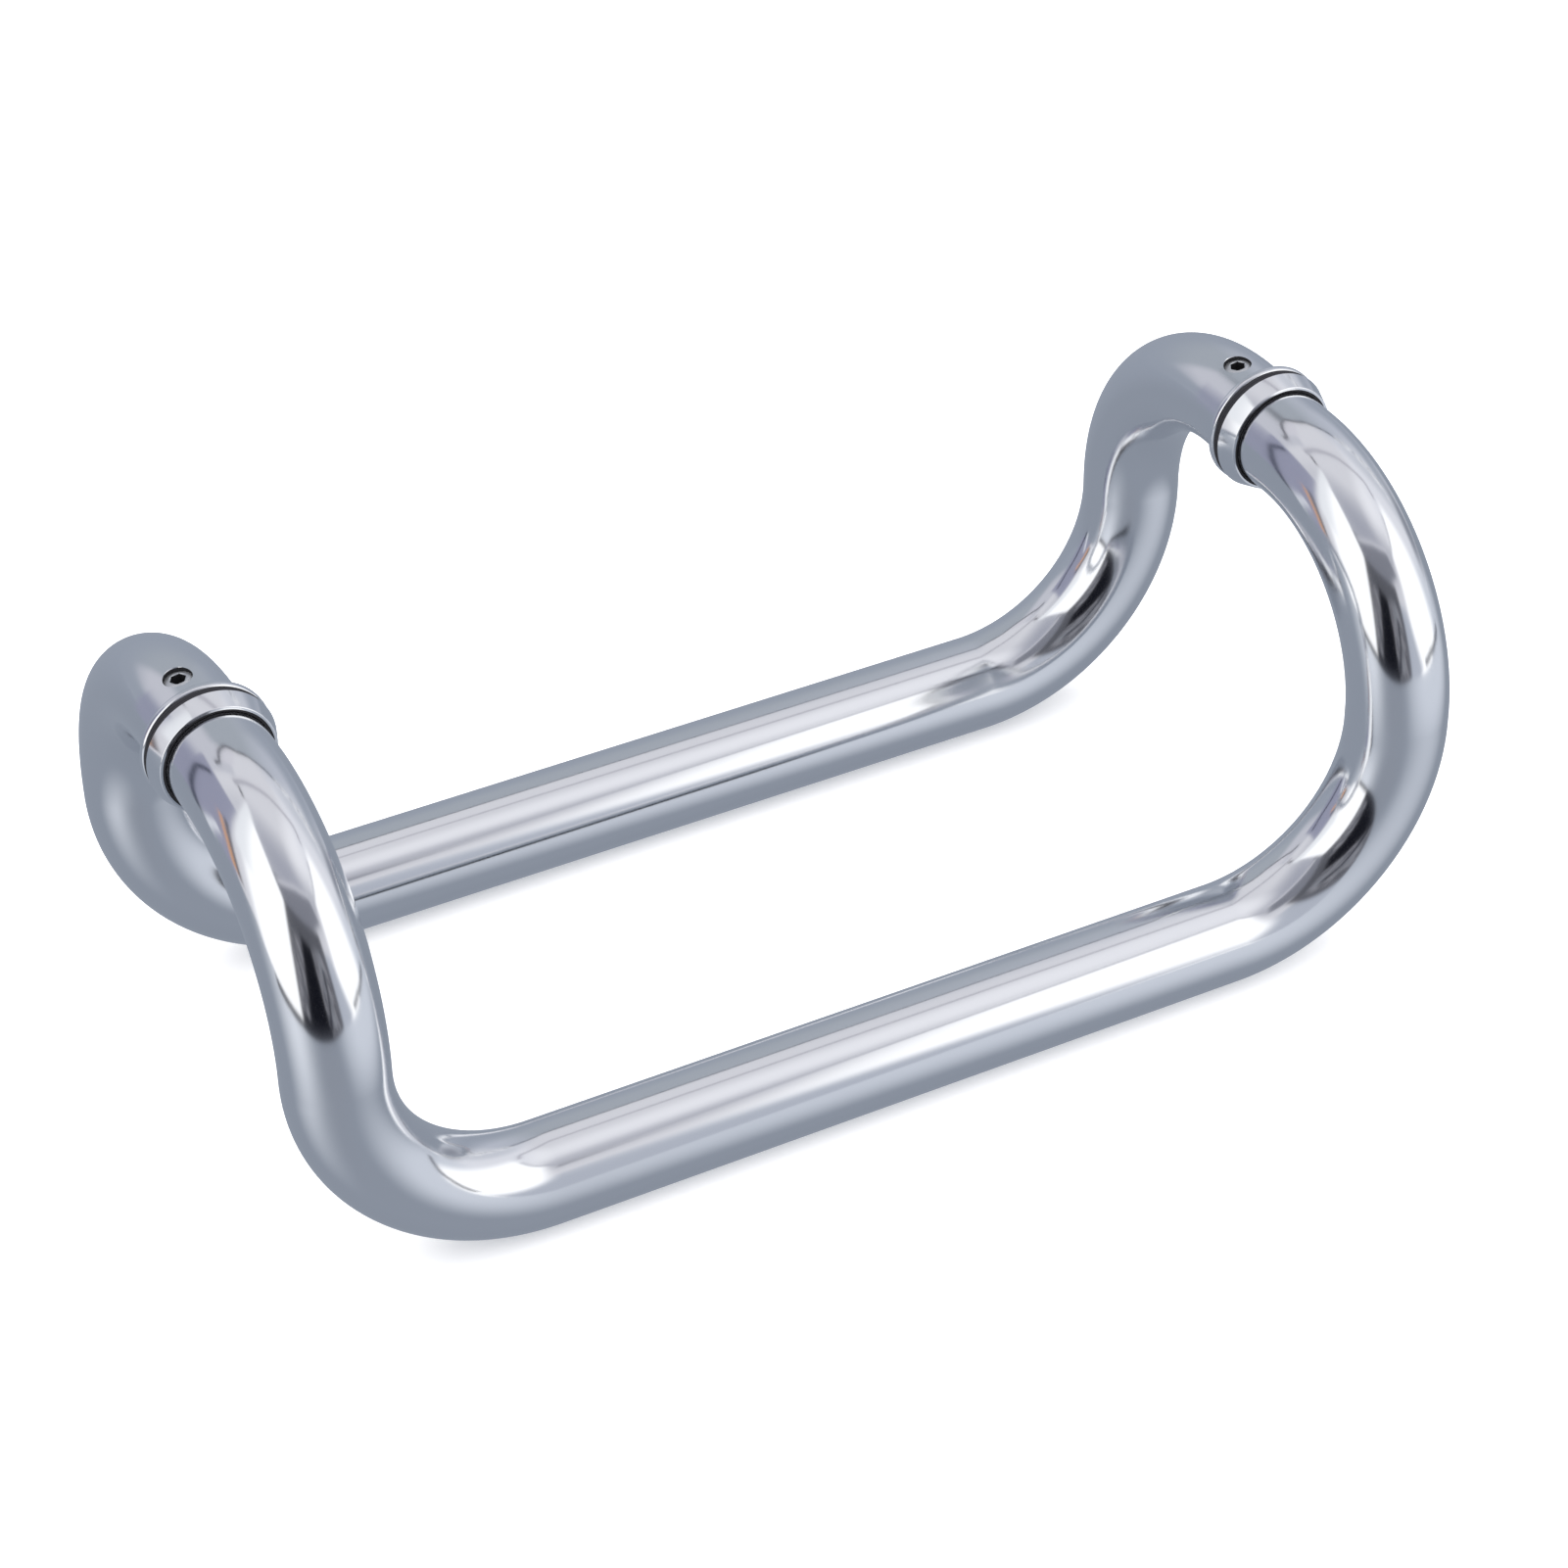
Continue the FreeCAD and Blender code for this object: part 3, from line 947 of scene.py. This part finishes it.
@dataclass
class Fixing:
    """Everything that shows at one fixing, between the two tubes.

    Attributes:
        side: Which fixing it is.
        sizes: Shared sizes.
        collar_floor: Thickness of the collar's floor.
        collar_lip_round: Round of the collar's lip.
        collar_taper: How much the collar's radius narrows to its lip.
        collar_chamfer: Chamfer at the collar's gasket end.
        seal_width: Width of the seal round the tube.
        seal_round: Round of the seal's lip.
        gasket_round: Round of a gasket's corners.
        clearance: Gap between the seal and the tube.
    """

    side: Side
    sizes: Sizes
    collar_floor: float = 2.0 * MM
    collar_lip_round: float = 0.3 * MM
    collar_taper: float = 1.35 * MM
    collar_chamfer: float = 0.2 * MM
    seal_width: float = 0.7 * MM
    seal_round: float = 0.2 * MM
    gasket_round: float = 0.2 * MM
    clearance: float = 0.05 * MM

    def ring(self, node: str, ending: str, finish: Finish, outline: Outline,
             rounds: dict[int, float]) -> None:
        """Turn a ring on the fixing's axis and dress it.

        Args:
            node: CAD node that it stands for.
            ending: End of its name, after the node's.
            finish: Its finish.
            outline: Its outline as (radius, y) points.
            rounds: Radius for each corner to round, by its place in the outline.
        """
        made = seat(turned(node + ending, softened(outline, rounds)), self.sizes.along_y(self.side))
        keep_edges(made.data, TURNED_EDGE)
        finished(made, finish, node)

    def collar(self) -> None:
        """Tapered collar with a rounded lip."""
        node = named("front_collar", self.side)
        low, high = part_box(node)
        radius, floor = high.z, high.y - self.collar_floor
        bore, recess = self.sizes.tube_radius / 2, self.sizes.tube_radius + self.seal_width
        outline = [(bore, high.y), (radius - self.collar_chamfer, high.y),
                   (radius, high.y - self.collar_chamfer), (radius - self.collar_taper, low.y),
                   (recess, low.y), (recess, floor), (bore, floor)]
        self.ring(node, "_polished", CHROME, outline, {3: self.collar_lip_round})

    def seal(self) -> None:
        """Black seal in the collar's recess, round the tube."""
        node = named("front_seal", self.side)
        low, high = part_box(node)
        inner = self.sizes.tube_radius + self.clearance
        outline = [(inner, high.y), (high.z, high.y), (high.z, low.y), (inner, low.y)]
        self.ring(node, "_moulded", RUBBER, outline, {2: self.seal_round, 3: self.seal_round})

    def gasket(self, piece: str) -> None:
        """Black gasket with softened corners.

        Args:
            piece: Which of the fixing's gaskets it is.
        """
        node = named(piece, self.side)
        low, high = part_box(node)
        bore = self.sizes.tube_radius / 2
        outline = [(bore, low.y), (bore, high.y), (high.z, high.y), (high.z, low.y)]
        self.ring(node, "_moulded", RUBBER, outline, {2: self.gasket_round, 3: self.gasket_round})

    def screw_axis(self) -> ScrewAxis:
        """Find the set screw's axis, through the middle of its CAD node.

        Returns:
            The axis.
        """
        low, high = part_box(named("set_screw", self.side))
        x = self.side.value * self.sizes.half_spacing
        return ScrewAxis(Vector((x, (low.y + high.y) / 2, 0)), self.sizes.screw_lean)

    def build(self) -> None:
        """Build and dress every piece that shows."""
        self.collar()
        self.seal()
        self.gasket("front_gasket")
        self.gasket("rear_gasket")
        ClampPost(self.side, self.sizes, self.screw_axis()).build()
        SetScrew(self.side, self.screw_axis()).build()


def direction(azimuth: float, elevation: float) -> Vector:
    """Unit vector of a direction in degrees; azimuth 0 is +Y and 90 is +X."""
    turn, rise = math.radians(azimuth), math.radians(elevation)
    return Vector((math.sin(turn) * math.cos(rise), math.cos(turn) * math.cos(rise), math.sin(rise)))


def rolled(right: Vector, up: Vector, degrees: float) -> tuple[Vector, Vector]:
    """Two directions at right angles, both rolled by an angle."""
    turn = math.radians(degrees)
    return right * math.cos(turn) + up * math.sin(turn), up * math.cos(turn) - right * math.sin(turn)


@dataclass(frozen=True)
class Panel:
    """A flat, soft-edged panel of the studio, as the chrome mirrors it.

    Attributes:
        name: What it is.
        middle: Azimuth and elevation of its middle, in degrees.
        half: Half its width and half its height, in degrees.
        colour: Display colour that it gives in the chrome.
        soft: Share of its size over which its edge fades.
        roll: Its turn in its own plane, in degrees.
        squareness: 2 for an ellipse, more for a rounded rectangle.
    """

    name: str
    middle: Angles
    half: Angles
    colour: Rgb
    soft: float
    roll: float
    squareness: float

    def inputs(self) -> list[dict[str, object]]:
        """Work out values for the panel's node group.

        Returns:
            A list of one, with the values by the inputs' names.
        """
        centre, across = direction(*self.middle), direction(self.middle[0] + 90, 0)
        right, up = rolled(across, across.cross(centre), self.roll)
        width, height = (math.tan(math.radians(angle)) for angle in self.half)
        return [{"Centre": centre, "Right": right / width, "Up": up / height, "Softness": self.soft,
                 "Squareness": self.squareness, "Colour": studio_colour(self.colour)}]


@dataclass(frozen=True)
class Sheet:
    """A four-sided sheet of the studio with straight edges, as the chrome mirrors it.

    Attributes:
        name: What it is.
        corners: Azimuth and elevation of its four corners in order, in degrees.
        colour: Display colour that it gives in the chrome.
        soft: Degrees over which each edge fades, one for each side, from the first corner on.
        gain: Factor on its light.
        speckle: Share of it that the specks take away, if it is broken up.
        speck: Size of the specks, across and up, in degrees; None leaves the sheet whole.
    """

    name: str
    corners: tuple[Angles, ...]
    colour: Rgb
    soft: tuple[float, float, float, float]
    gain: float = 1.0
    speckle: float = 1.0
    speck: Angles | None = None

    def inputs(self) -> list[dict[str, object]]:
        """Work out values for the straight or the broken sheet's node group.

        Returns:
            A list of one, with the values by the inputs' names.
        """
        corners = [direction(*corner) for corner in self.corners]
        values = edge_inputs(corners, self.soft, studio_colour(self.colour, self.gain))
        if self.speck:
            across, up = (1 / math.radians(size) for size in self.speck)
            values |= {"Speckle": self.speckle, "Specks": Vector((across, across, up))}
        return [values]


@dataclass(frozen=True)
class Stroke:
    """A thin line of the studio, such as a seam or the edge of a lamp.

    Attributes:
        name: What it is.
        points: Azimuth and elevation of its points in order, in degrees.
        colour: Display colour that it gives in the chrome.
        width: Its width in degrees.
        soft: Width over which its edges fade, in degrees.
    """

    name: str
    points: tuple[Angles, ...]
    colour: Rgb
    width: float
    soft: float

    def inputs(self) -> list[dict[str, object]]:
        """Work out values for the straight sheet's node group.

        Returns:
            The values by the inputs' names, once for each run between two points.
        """
        places = [direction(*point) for point in self.points]
        half, runs = math.radians(self.width) / 2, []
        for first, last in zip(places, places[1:]):
            aside = first.cross(last).normalized() * half
            corners = [first - aside, last - aside, last + aside, first + aside]
            runs.append(edge_inputs(corners, (self.soft,) * 4, studio_colour(self.colour)))
        return runs


def edge_inputs(corners: list[Vector], soft: tuple[float, ...], colour: Rgba) -> dict[str, object]:
    """Work out values for the straight sheet's node group.

    Args:
        corners: Directions of the four corners, in order.
        soft: Degrees over which each edge fades.
        colour: Linear colour.

    Returns:
        The values by the inputs' names, but for the direction looked in and the colour behind.
    """
    middle, values = sum(corners, Vector()), {"Colour": colour}
    for place, (corner, following) in enumerate(zip(corners, corners[1:] + corners[:1])):
        inwards = corner.cross(following).normalized()
        if inwards.dot(middle) < 0:
            inwards.negate()
        values[f"Edge {place + 1}"] = inwards / math.radians(soft[place])
    return values


def panel_cover(graph: NodeTree, given: Sockets) -> Socket:
    """Add the nodes for how much a soft-edged flat panel covers.

    Args:
        graph: The layer's node tree.
        given: Its inputs; Right and Up are divided by the panel's half sizes.

    Returns:
        The panel's cover, 0 to 1.
    """
    depth = graph.vector("DOT_PRODUCT", given["Direction"], given["Centre"])
    ahead, powers = graph.math("MAXIMUM", depth, PANEL_AHEAD), []
    for axis in ("Right", "Up"):
        aside = graph.math("DIVIDE", graph.vector("DOT_PRODUCT", given["Direction"], given[axis]), ahead)
        share = graph.math("MINIMUM", graph.math("ABSOLUTE", aside), PANEL_REACH)
        powers.append(graph.math("POWER", share, given["Squareness"]))
    root = graph.math("DIVIDE", 1.0, given["Squareness"])
    reach = graph.math("POWER", graph.math("ADD", *powers), root)
    inner, outer = (graph.math(way, 1.0, given["Softness"]) for way in ("SUBTRACT", "ADD"))
    filled = graph.spread(reach, inner, outer, 1.0, 0.0)
    return graph.math("MULTIPLY", filled, graph.math("GREATER_THAN", depth, PANEL_AHEAD))


def sheet_cover(graph: NodeTree, given: Sockets) -> Socket:
    """Add the nodes for how much a straight-edged sheet covers.

    Args:
        graph: The layer's node tree.
        given: Its inputs; each Edge points inwards and is divided by the edge's softness.

    Returns:
        The sheet's cover, 0 to 1.
    """
    inside = 1.0
    for place in range(1, 5):
        within = graph.vector("DOT_PRODUCT", given["Direction"], given[f"Edge {place}"])
        inside = graph.math("MULTIPLY", inside, graph.spread(within, -0.5, 0.5))
    return inside


def broken_cover(graph: NodeTree, given: Sockets) -> Socket:
    """Add the nodes for how much a sheet covers that is broken up into specks.

    Args:
        graph: The layer's node tree.
        given: Its inputs; Specks scales the direction, and Speckle is the share that is lost.

    Returns:
        The sheet's cover, 0 to 1.
    """
    scaled = graph.vector("MULTIPLY", given["Direction"], given["Specks"])
    specks = graph.spread(graph.noise(scaled, 1.0, SPECK_DETAIL), *SPECK_SPAN)
    kept = graph.math("SUBTRACT", 1.0, graph.math("MULTIPLY", given["Speckle"], specks))
    return graph.math("MULTIPLY", sheet_cover(graph, given), kept)


def layer_tree(name: str, inputs: dict[str, str],
               cover: Callable[[NodeTree, Sockets], Socket]) -> bpy.types.NodeTree:
    """Shader node group that lays one part of the studio over what is behind it.

    It hands on the direction with a trace of its colour. The trace makes each layer wait for the
    one behind it, so that the renderer holds only one layer's values at a time; it is far too
    small to be seen.

    Args:
        name: Name of the group.
        inputs: Kind of each input of its own, by its name.
        cover: Adds the nodes for how much the part covers.

    Returns:
        The tree. Its other inputs are the direction looked in, the colour behind and its own.
    """
    inputs = {"Direction": "Vector", **inputs, "Behind": "Color", "Colour": "Color"}
    graph = new_group(name, "Shader", inputs, {"Result": "Color", "Onward": "Vector"})
    given = graph.add("NodeGroupInput").outputs
    result = graph.mix(cover(graph, given), given["Behind"], given["Colour"])
    onward = graph.vector("MULTIPLY_ADD", result, LAYER_TRACE, given["Direction"])
    graph.add("NodeGroupOutput", {"Result": result, "Onward": onward})
    return graph.tree


def quadrangle(name: str, corners: list[tuple[float, float, float]],
               material: bpy.types.Material) -> bpy.types.Object:
    """Flat four-sided piece of the studio.

    Args:
        name: Name of the object.
        corners: Its corners, in order.
        material: Its material.

    Returns:
        The piece.
    """
    mesh = bpy.data.meshes.new(name)
    mesh.from_pydata(corners, [], [(0, 1, 2, 3)])
    mesh.materials.append(material)
    return scene_object(name, mesh)


def only_in_chrome(made: bpy.types.Object) -> None:
    """Stage a piece of the studio that only shiny surfaces see.

    Args:
        made: The piece.
    """
    made.visible_camera = made.visible_diffuse = made.visible_shadow = False
    made.visible_transmission = made.visible_volume_scatter = False
    made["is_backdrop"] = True


@dataclass
class Studio:
    """Camera, floor, lamp and background, and the room that the chrome mirrors.

    Attributes:
        sizes: Shared sizes.
        azimuth: Camera's turn from straight in front, in degrees.
        elevation: Camera's height above the horizon, in degrees.
        roll: Camera's roll, in degrees.
        distance: From the camera to the point it looks at.
        target: Point that it looks at.
        focal_pixels: Focal length in pixels of the photograph.
        sensor: Width of the camera's sensor, in millimetres.
        clip: Nearest and farthest distance that the camera sees.
        floor_half: Half the floor's side.
        floor_colour: Linear colour of the floor.
        floor_roughness: Its roughness.
        floor_glow: Strength of its own light, which stands for light from all sides.
        lamp_place: Place of the lamp over the handle.
        lamp_size: Its diameter.
        lamp_power: Its power in watts.
        backdrop: Linear colour of the background.
        dome_centre: Centre of the dome of cloth and lamps.
        dome_radius: Its radius.
        dome_steps: Its faces round and up.
        dome_colour: Display colour of its plain cloth, as the chrome gives it.
        painted_shadow_colour: Display colour of the painted contact shadow at the front grip's foot, as the
            chrome gives it.
        contact_place: How far behind the front grip's middle the painted shadow sheet stands.
        contact_height: Height of the painted shadow sheet.
        contact_inset: How far the painted shadow sheet stops short of the handle's ends.
        contact_fade: Length over which each end of the painted shadow sheet fades out.
    """

    sizes: Sizes
    azimuth: float = 27.05
    elevation: float = 36.162
    roll: float = -1.143
    distance: float = 896.95 * MM
    target: tuple[float, float, float] = (3.08 * MM, 0.0, -53.3 * MM)
    focal_pixels: float = 4287.7
    sensor: float = 36.0
    clip: tuple[float, float] = (0.01, 50)
    floor_half: float = 6.0
    floor_colour: Rgba = (0.86, 0.86, 0.87, 1)
    floor_roughness: float = 0.9
    floor_glow: float = 0.3
    lamp_place: tuple[float, float, float] = (-0.2, -0.2, 1.6)
    lamp_size: float = 3.6
    lamp_power: float = 55
    backdrop: Rgba = (0.95, 0.95, 0.96, 1)
    dome_centre: tuple[float, float, float] = (0.492, 0.35, 0.516)
    dome_radius: float = 1.6
    dome_steps: tuple[int, int] = (128, 64)
    dome_colour: Rgb = (217, 217, 223)
    # Painted contact shadow: a dark glowing sheet behind the front grip's foot, seen only in the rear
    # grip's chrome.
    painted_shadow_colour: Rgb = (12, 13, 18)
    contact_place: float = 11.2 * MM
    contact_height: float = 6.5 * MM
    contact_inset: float = 50.0 * MM
    contact_fade: float = 35.0 * MM

    def camera(self) -> None:
        """Stand the camera at the photograph's viewing angle."""
        back = direction(self.azimuth, self.elevation) * Vector((-1, -1, 1))
        right = (-back).cross(Vector((0, 0, 1))).normalized()
        right, up = rolled(right, right.cross(-back), self.roll)
        place = Matrix((right, up, back)).transposed().to_4x4()
        place.translation = Vector(self.target) + back * self.distance
        lens = bpy.data.cameras.new("camera")
        lens.sensor_width = self.sensor
        lens.lens = lens.sensor_width * self.focal_pixels / PHOTO_SIDE
        lens.clip_start, lens.clip_end = self.clip
        camera = scene_object("camera", lens)
        camera.matrix_world = place
        bpy.context.scene.camera = camera

    def floor(self) -> None:
        """Wide pale floor under the grips, which the chrome doesn't see."""
        z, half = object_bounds()[0].z, self.floor_half
        pale, graph = new_material("pale_floor")
        graph.fill(pale.node_tree.nodes["Principled BSDF"], {
            "Base Color": self.floor_colour, "Roughness": self.floor_roughness,
            "Specular IOR Level": 0.0, "Emission Color": (1, 1, 1, 1),
            "Emission Strength": self.floor_glow})
        corners = [(-half, -half, z), (half, -half, z), (half, half, z), (-half, half, z)]
        floor = quadrangle("floor", corners, pale)
        floor.visible_glossy = False
        floor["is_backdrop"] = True

    def lamp(self) -> None:
        """Large soft lamp for the floor and the dull pieces."""
        lamp = bpy.data.lights.new("overhead", "AREA")
        lamp.shape = "DISK"
        lamp.size, lamp.energy = self.lamp_size, self.lamp_power
        overhead = scene_object("overhead", lamp)
        overhead.location = self.lamp_place
        overhead.visible_glossy = False

    def layers(self) -> list[Panel | Sheet | Stroke]:
        """Parts of the studio, from the back to the front layer."""
        return [
            Panel("ceiling_behind", (-137.4, 33.5), (40, 19.5), (166, 168, 180), 1.05, -5.2, 2),
            Panel("ceiling_right", (136, 51.1), (35.5, 19.6), (240, 240, 245), 0.67, 14, 2),
            Panel("glow_right", (102.6, 22.3), (52.5, 40.9), (228, 229, 236), 0.46, -19.3, 2.5),
            Panel("wall", (14.2, -19.7), (76, 70.9), (165, 171, 180), 0.012, 22.4, 3.5),
            Panel("wall_right", (57.9, 5.3), (25.5, 45.5), (189, 193, 205), 1.15, 9.7, 2),
            Panel("wall_far", (85.7, 6), (18.2, 48), (202, 205, 214), 0.48, 10, 2),
            Sheet("side_glow", ((-70, -8), (-40, -8), (-36, 46), (-64, 46)), (198, 199, 208),
                  (8, 12, 1, 1)),
            Sheet("hood", ((-56, 31), (-25, 40.5), (-22, 49), (-50, 49)), (211, 210, 218),
                  (0.8, 0.8, 1, 1)),
            Stroke("hood_line", ((-61, 23), (-57.5, 30), (-52, 31), (-45, 32.5), (-36, 36), (-27, 39.5),
                   (-21, 44), (-14, 48.5), (-3, 51), (9, 51.5)), (28, 31, 42), 2.7, 1.0),
            Stroke("wall_line", ((9, 51.5), (29, 51.5), (46, 47), (61, 41)), (50, 53, 64), 2.4, 1.2),
            Stroke("wall_line_far", ((61, 41), (73, 30), (83, 17), (88, 5)), (128, 131, 142), 2.4, 1.6),
            Sheet("wall_fray", ((60, 49), (96, 8), (88, 2), (57, 41)), (236, 237, 241), (2.5, 2, 2.5, 2),
                  speck=(3.5, 3.5)),
            Panel("table", (0, -90), (68, 68), (143, 150, 162), 0.02, 0, 2),
            Panel("table_back", (9, -20.2), (78, 22.1), (152, 159, 172), 1.26, 8.7, 2),
            Panel("table_under", (-100, -88), (20.3, 32), (140, 147, 159), 0.60, 0, 2),
            Panel("table_right", (151, -26), (43, 26.3), (208, 213, 223), 0.60, -1.5, 2.2),
            Panel("table_left", (-113.1, -24.5), (10.5, 15.3), (226, 230, 238), 1.10, -19.6, 2.2),
            Panel("table_far", (-139, -33), (11, 10), (142, 148, 159), 1.02, -3, 2.2),
            Sheet("lamp_right", ((131, -24), (126, 42), (172, 30), (187, -22)), (254, 254, 255),
                  (20, 8, 8, 1), 1.25),
            Sheet("lamp_foot", ((174, -23), (-174, 3), (-158, 3), (-158, -23)), (180, 185, 197),
                  (9, 6, 3, 1)),
            Stroke("lamp_top_line", ((140, 42), (150, 38.5), (160, 34), (168, 30), (175, 28), (-178, 22)),
                   (176, 177, 187), 3, 2.5),
            Panel("dim_patch", (94, -11), (14, 9.5), (140, 144, 155), 0.71, -5.5, 2),
            Sheet("opening_top", ((187.2, 28.7), (-116, 19.3), (-124.6, -0.1), (-177.8, 16.5)),
                  (127, 129, 139), (3, 1, 3, 3)),
            Stroke("opening_rim", ((184, 30), (-150, 30), (-125, 19.5)), (208, 208, 216), 2.4, 1.5),
            Sheet("opening", ((-165.5, -22.8), (-167.5, 12), (-126, 12), (-121, -24)), (90, 91, 98),
                  (4, 4, 1, 1)),
            Sheet("opening_light", ((-158, -21), (-160, 4), (-152, 4), (-151, -22)), (138, 141, 149),
                  (1.5, 3, 1.5, 1), speckle=0.55, speck=(2.5, 9)),
            Sheet("opening_grain", ((-163, -22), (-163, 2), (-128, 2), (-124, -23)), (140, 140, 147),
                  (4, 4, 4, 1), speck=(1.6, 8)),
            Sheet("opening_core", ((-147.5, -23.4), (-148, 3), (-138.5, 4), (-129, -23.8)), (20, 21, 28),
                  (2, 4, 2.5, 1)),
            Stroke("opening_streak", ((-149, -22.6), (-155, -12), (-157, -3)), (46, 47, 56), 2.4, 2),
            Stroke("opening_foot", ((-124, -22.7), (-133, -22.9), (-149, -22.7)), (34, 35, 42), 2.8, 1.2),
            Sheet("lamp_left", ((-91, 41), (-128, 12), (-122.5, -24), (-99.5, -24)), (254, 254, 255),
                  (2.5, 2, 1, 6), 1.2),
            Sheet("lamp_left_fade", ((-89, 44), (-100, 40), (-102, -4), (-92, -4)), (240, 242, 246),
                  (1, 10, 8, 2)),
            Sheet("cloth", ((-57.5, 11), (-89.5, 19), (-90, -22), (-66, -28)), (150, 152, 172),
                  (1.5, 2, 1.5, 3)),
            Stroke("cloth_line", ((-69, 11), (-67, 3), (-66.5, -4), (-69.5, -14), (-71.5, -23), (-74, -29)),
                   (40, 46, 62), 2.5, 1.2),
            Stroke("cloth_hem", ((-77, -28), (-80, -22), (-83, -17)), (228, 231, 238), 2.2, 1.5),
            Stroke("warm_shade", ((-86.5, -2), (-89, -9), (-92, -20)), (88, 88, 96), 2.6, 1.6),
            Stroke("warm", ((-83.5, -5), (-86, -10), (-88, -14), (-89.5, -20)), (222, 166, 120), 2.2, 1.5),
            Stroke("ceiling_arc", ((-72, 39), (-66, 58), (-54, 76), (60, 84), (105, 68), (112, 54),
                   (128, 48)), (160, 159, 170), 3.2, 2),
            Stroke("ceiling_mark", ((-75, 44.5), (-85, 43)), (50, 50, 60), 2.8, 1.5),
            Stroke("horizon_left", ((-104, -25.8), (-113, -24.8), (-121, -24.2), (-146, -23.3)),
                   (52, 53, 60), 1.8, 0.9),
            Stroke("horizon_right", ((168, -21.8), (153, -22.6), (134, -26), (118, -29)), (92, 94, 102),
                   2.6, 1.4),
        ]

    def dome_material(self) -> bpy.types.Material:
        """Build the glow of the dome, laid out in layers by the direction from its centre.

        Returns:
            The material.
        """
        made, graph = new_material("studio_dome", empty=True)
        made.cycles.emission_sampling = "NONE"
        aim = graph.vector("NORMALIZE", graph.vector("SUBTRACT", graph.place(), self.dome_centre))
        edges = {f"Edge {place}": "Vector" for place in range(1, 5)}
        panel = layer_tree("soft_panel", {
            "Centre": "Vector", "Right": "Vector", "Up": "Vector", "Softness": "Float",
            "Squareness": "Float"}, panel_cover)
        sheet = layer_tree("straight_sheet", edges, sheet_cover)
        broken = layer_tree("broken_sheet", {**edges, "Specks": "Vector", "Speckle": "Float"}, broken_cover)
        colour = studio_colour(self.dome_colour)
        for layer in self.layers():
            for values in layer.inputs():
                tree = panel if isinstance(layer, Panel) else broken if "Specks" in values else sheet
                node = graph.add("ShaderNodeGroup", label=layer.name, node_tree=tree)
                graph.fill(node, {"Direction": aim, "Behind": colour, **values})
                colour, aim = node.outputs["Result"], node.outputs["Onward"]
        graph.surface(graph.add("ShaderNodeEmission", {"Color": colour}).outputs[0])
        return made

    def dome(self) -> None:
        """Tent of pale cloth and lamps round the handle, which only the chrome sees."""
        shell = bmesh.new()
        around, up = self.dome_steps
        bmesh.ops.create_uvsphere(shell, u_segments=around, v_segments=up, radius=self.dome_radius)
        bmesh.ops.translate(shell, vec=self.dome_centre, verts=shell.verts)
        bmesh.ops.reverse_faces(shell, faces=shell.faces)
        mesh = mesh_of(shell, "studio_dome")
        mesh.materials.append(self.dome_material())
        only_in_chrome(scene_object("studio_dome", mesh))

    def painted_contact_shadow(self) -> None:
        """Painted contact shadow at the front grip's foot, which only the rear grip's chrome sees."""
        low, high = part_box("front_handle_tube")
        y, end = low.y + self.sizes.tube_radius + self.contact_place, high.x - self.contact_inset
        top = low.z + self.contact_height
        shade, graph = new_material("contact_shade", empty=True)
        aside = graph.math("ABSOLUTE", graph.add("ShaderNodeSeparateXYZ", {0: graph.place()}).outputs["X"])
        ends = graph.spread(aside, end - self.contact_fade, end, 1.0, 0.0)
        from_rear = graph.add("ShaderNodeNewGeometry").outputs["Backfacing"]
        # Near-black glow that paints the contact shadow under the front grip.
        glow = graph.add("ShaderNodeEmission", {"Color": studio_colour(self.painted_shadow_colour)})
        graph.surface(graph.add("ShaderNodeMixShader", {
            0: graph.math("MULTIPLY", ends, from_rear),
            1: graph.add("ShaderNodeBsdfTransparent").outputs[0], 2: glow.outputs[0]}).outputs[0])
        corners = [(-end, y, low.z), (end, y, low.z), (end, y, top), (-end, y, top)]
        only_in_chrome(quadrangle("painted_contact_shadow", corners, shade))

    def surroundings(self) -> None:
        """Plain pale background."""
        world = bpy.data.worlds.new("studio")
        world.use_nodes = True
        bpy.context.scene.world = world
        backdrop = world.node_tree.nodes["Background"]
        NodeTree(world.node_tree).fill(backdrop, {"Color": self.backdrop, "Strength": 1.0})

    def build(self) -> None:
        """Set up the whole studio."""
        self.camera()
        self.floor()
        self.lamp()
        self.dome()
        self.painted_contact_shadow()
        self.surroundings()
        bpy.context.scene.view_settings.view_transform = "Standard"
        LOG.info("studio: %d layers", len(self.layers()))


def dress_inner_pieces() -> None:
    """Give the CAD nodes that stay their finishes."""
    for piece, finish in INNER_FINISHES.items():
        for side in Side:
            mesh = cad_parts[named(piece, side)].data
            mesh.materials.clear()
            mesh.materials.append(finish.material())
            LOG.info("%s: %s", named(piece, side), finish.name)


def main() -> None:
    """Build every piece and the studio, in order."""
    logging.basicConfig(level=logging.INFO, format="%(message)s")
    sizes = Sizes()
    fixings = [Fixing(side, sizes) for side in Side]
    tree = bent_tube_tree()
    screws = [fixing.screw_axis() for fixing in fixings]
    HandleTube("front_handle_tube", Face.FRONT, sizes, tree, []).build()
    HandleTube("rear_handle_tube", Face.REAR, sizes, tree, screws).build()
    for fixing in fixings:
        fixing.build()
    dress_inner_pieces()
    Studio(sizes).build()


if __name__ == "__main__":
    main()
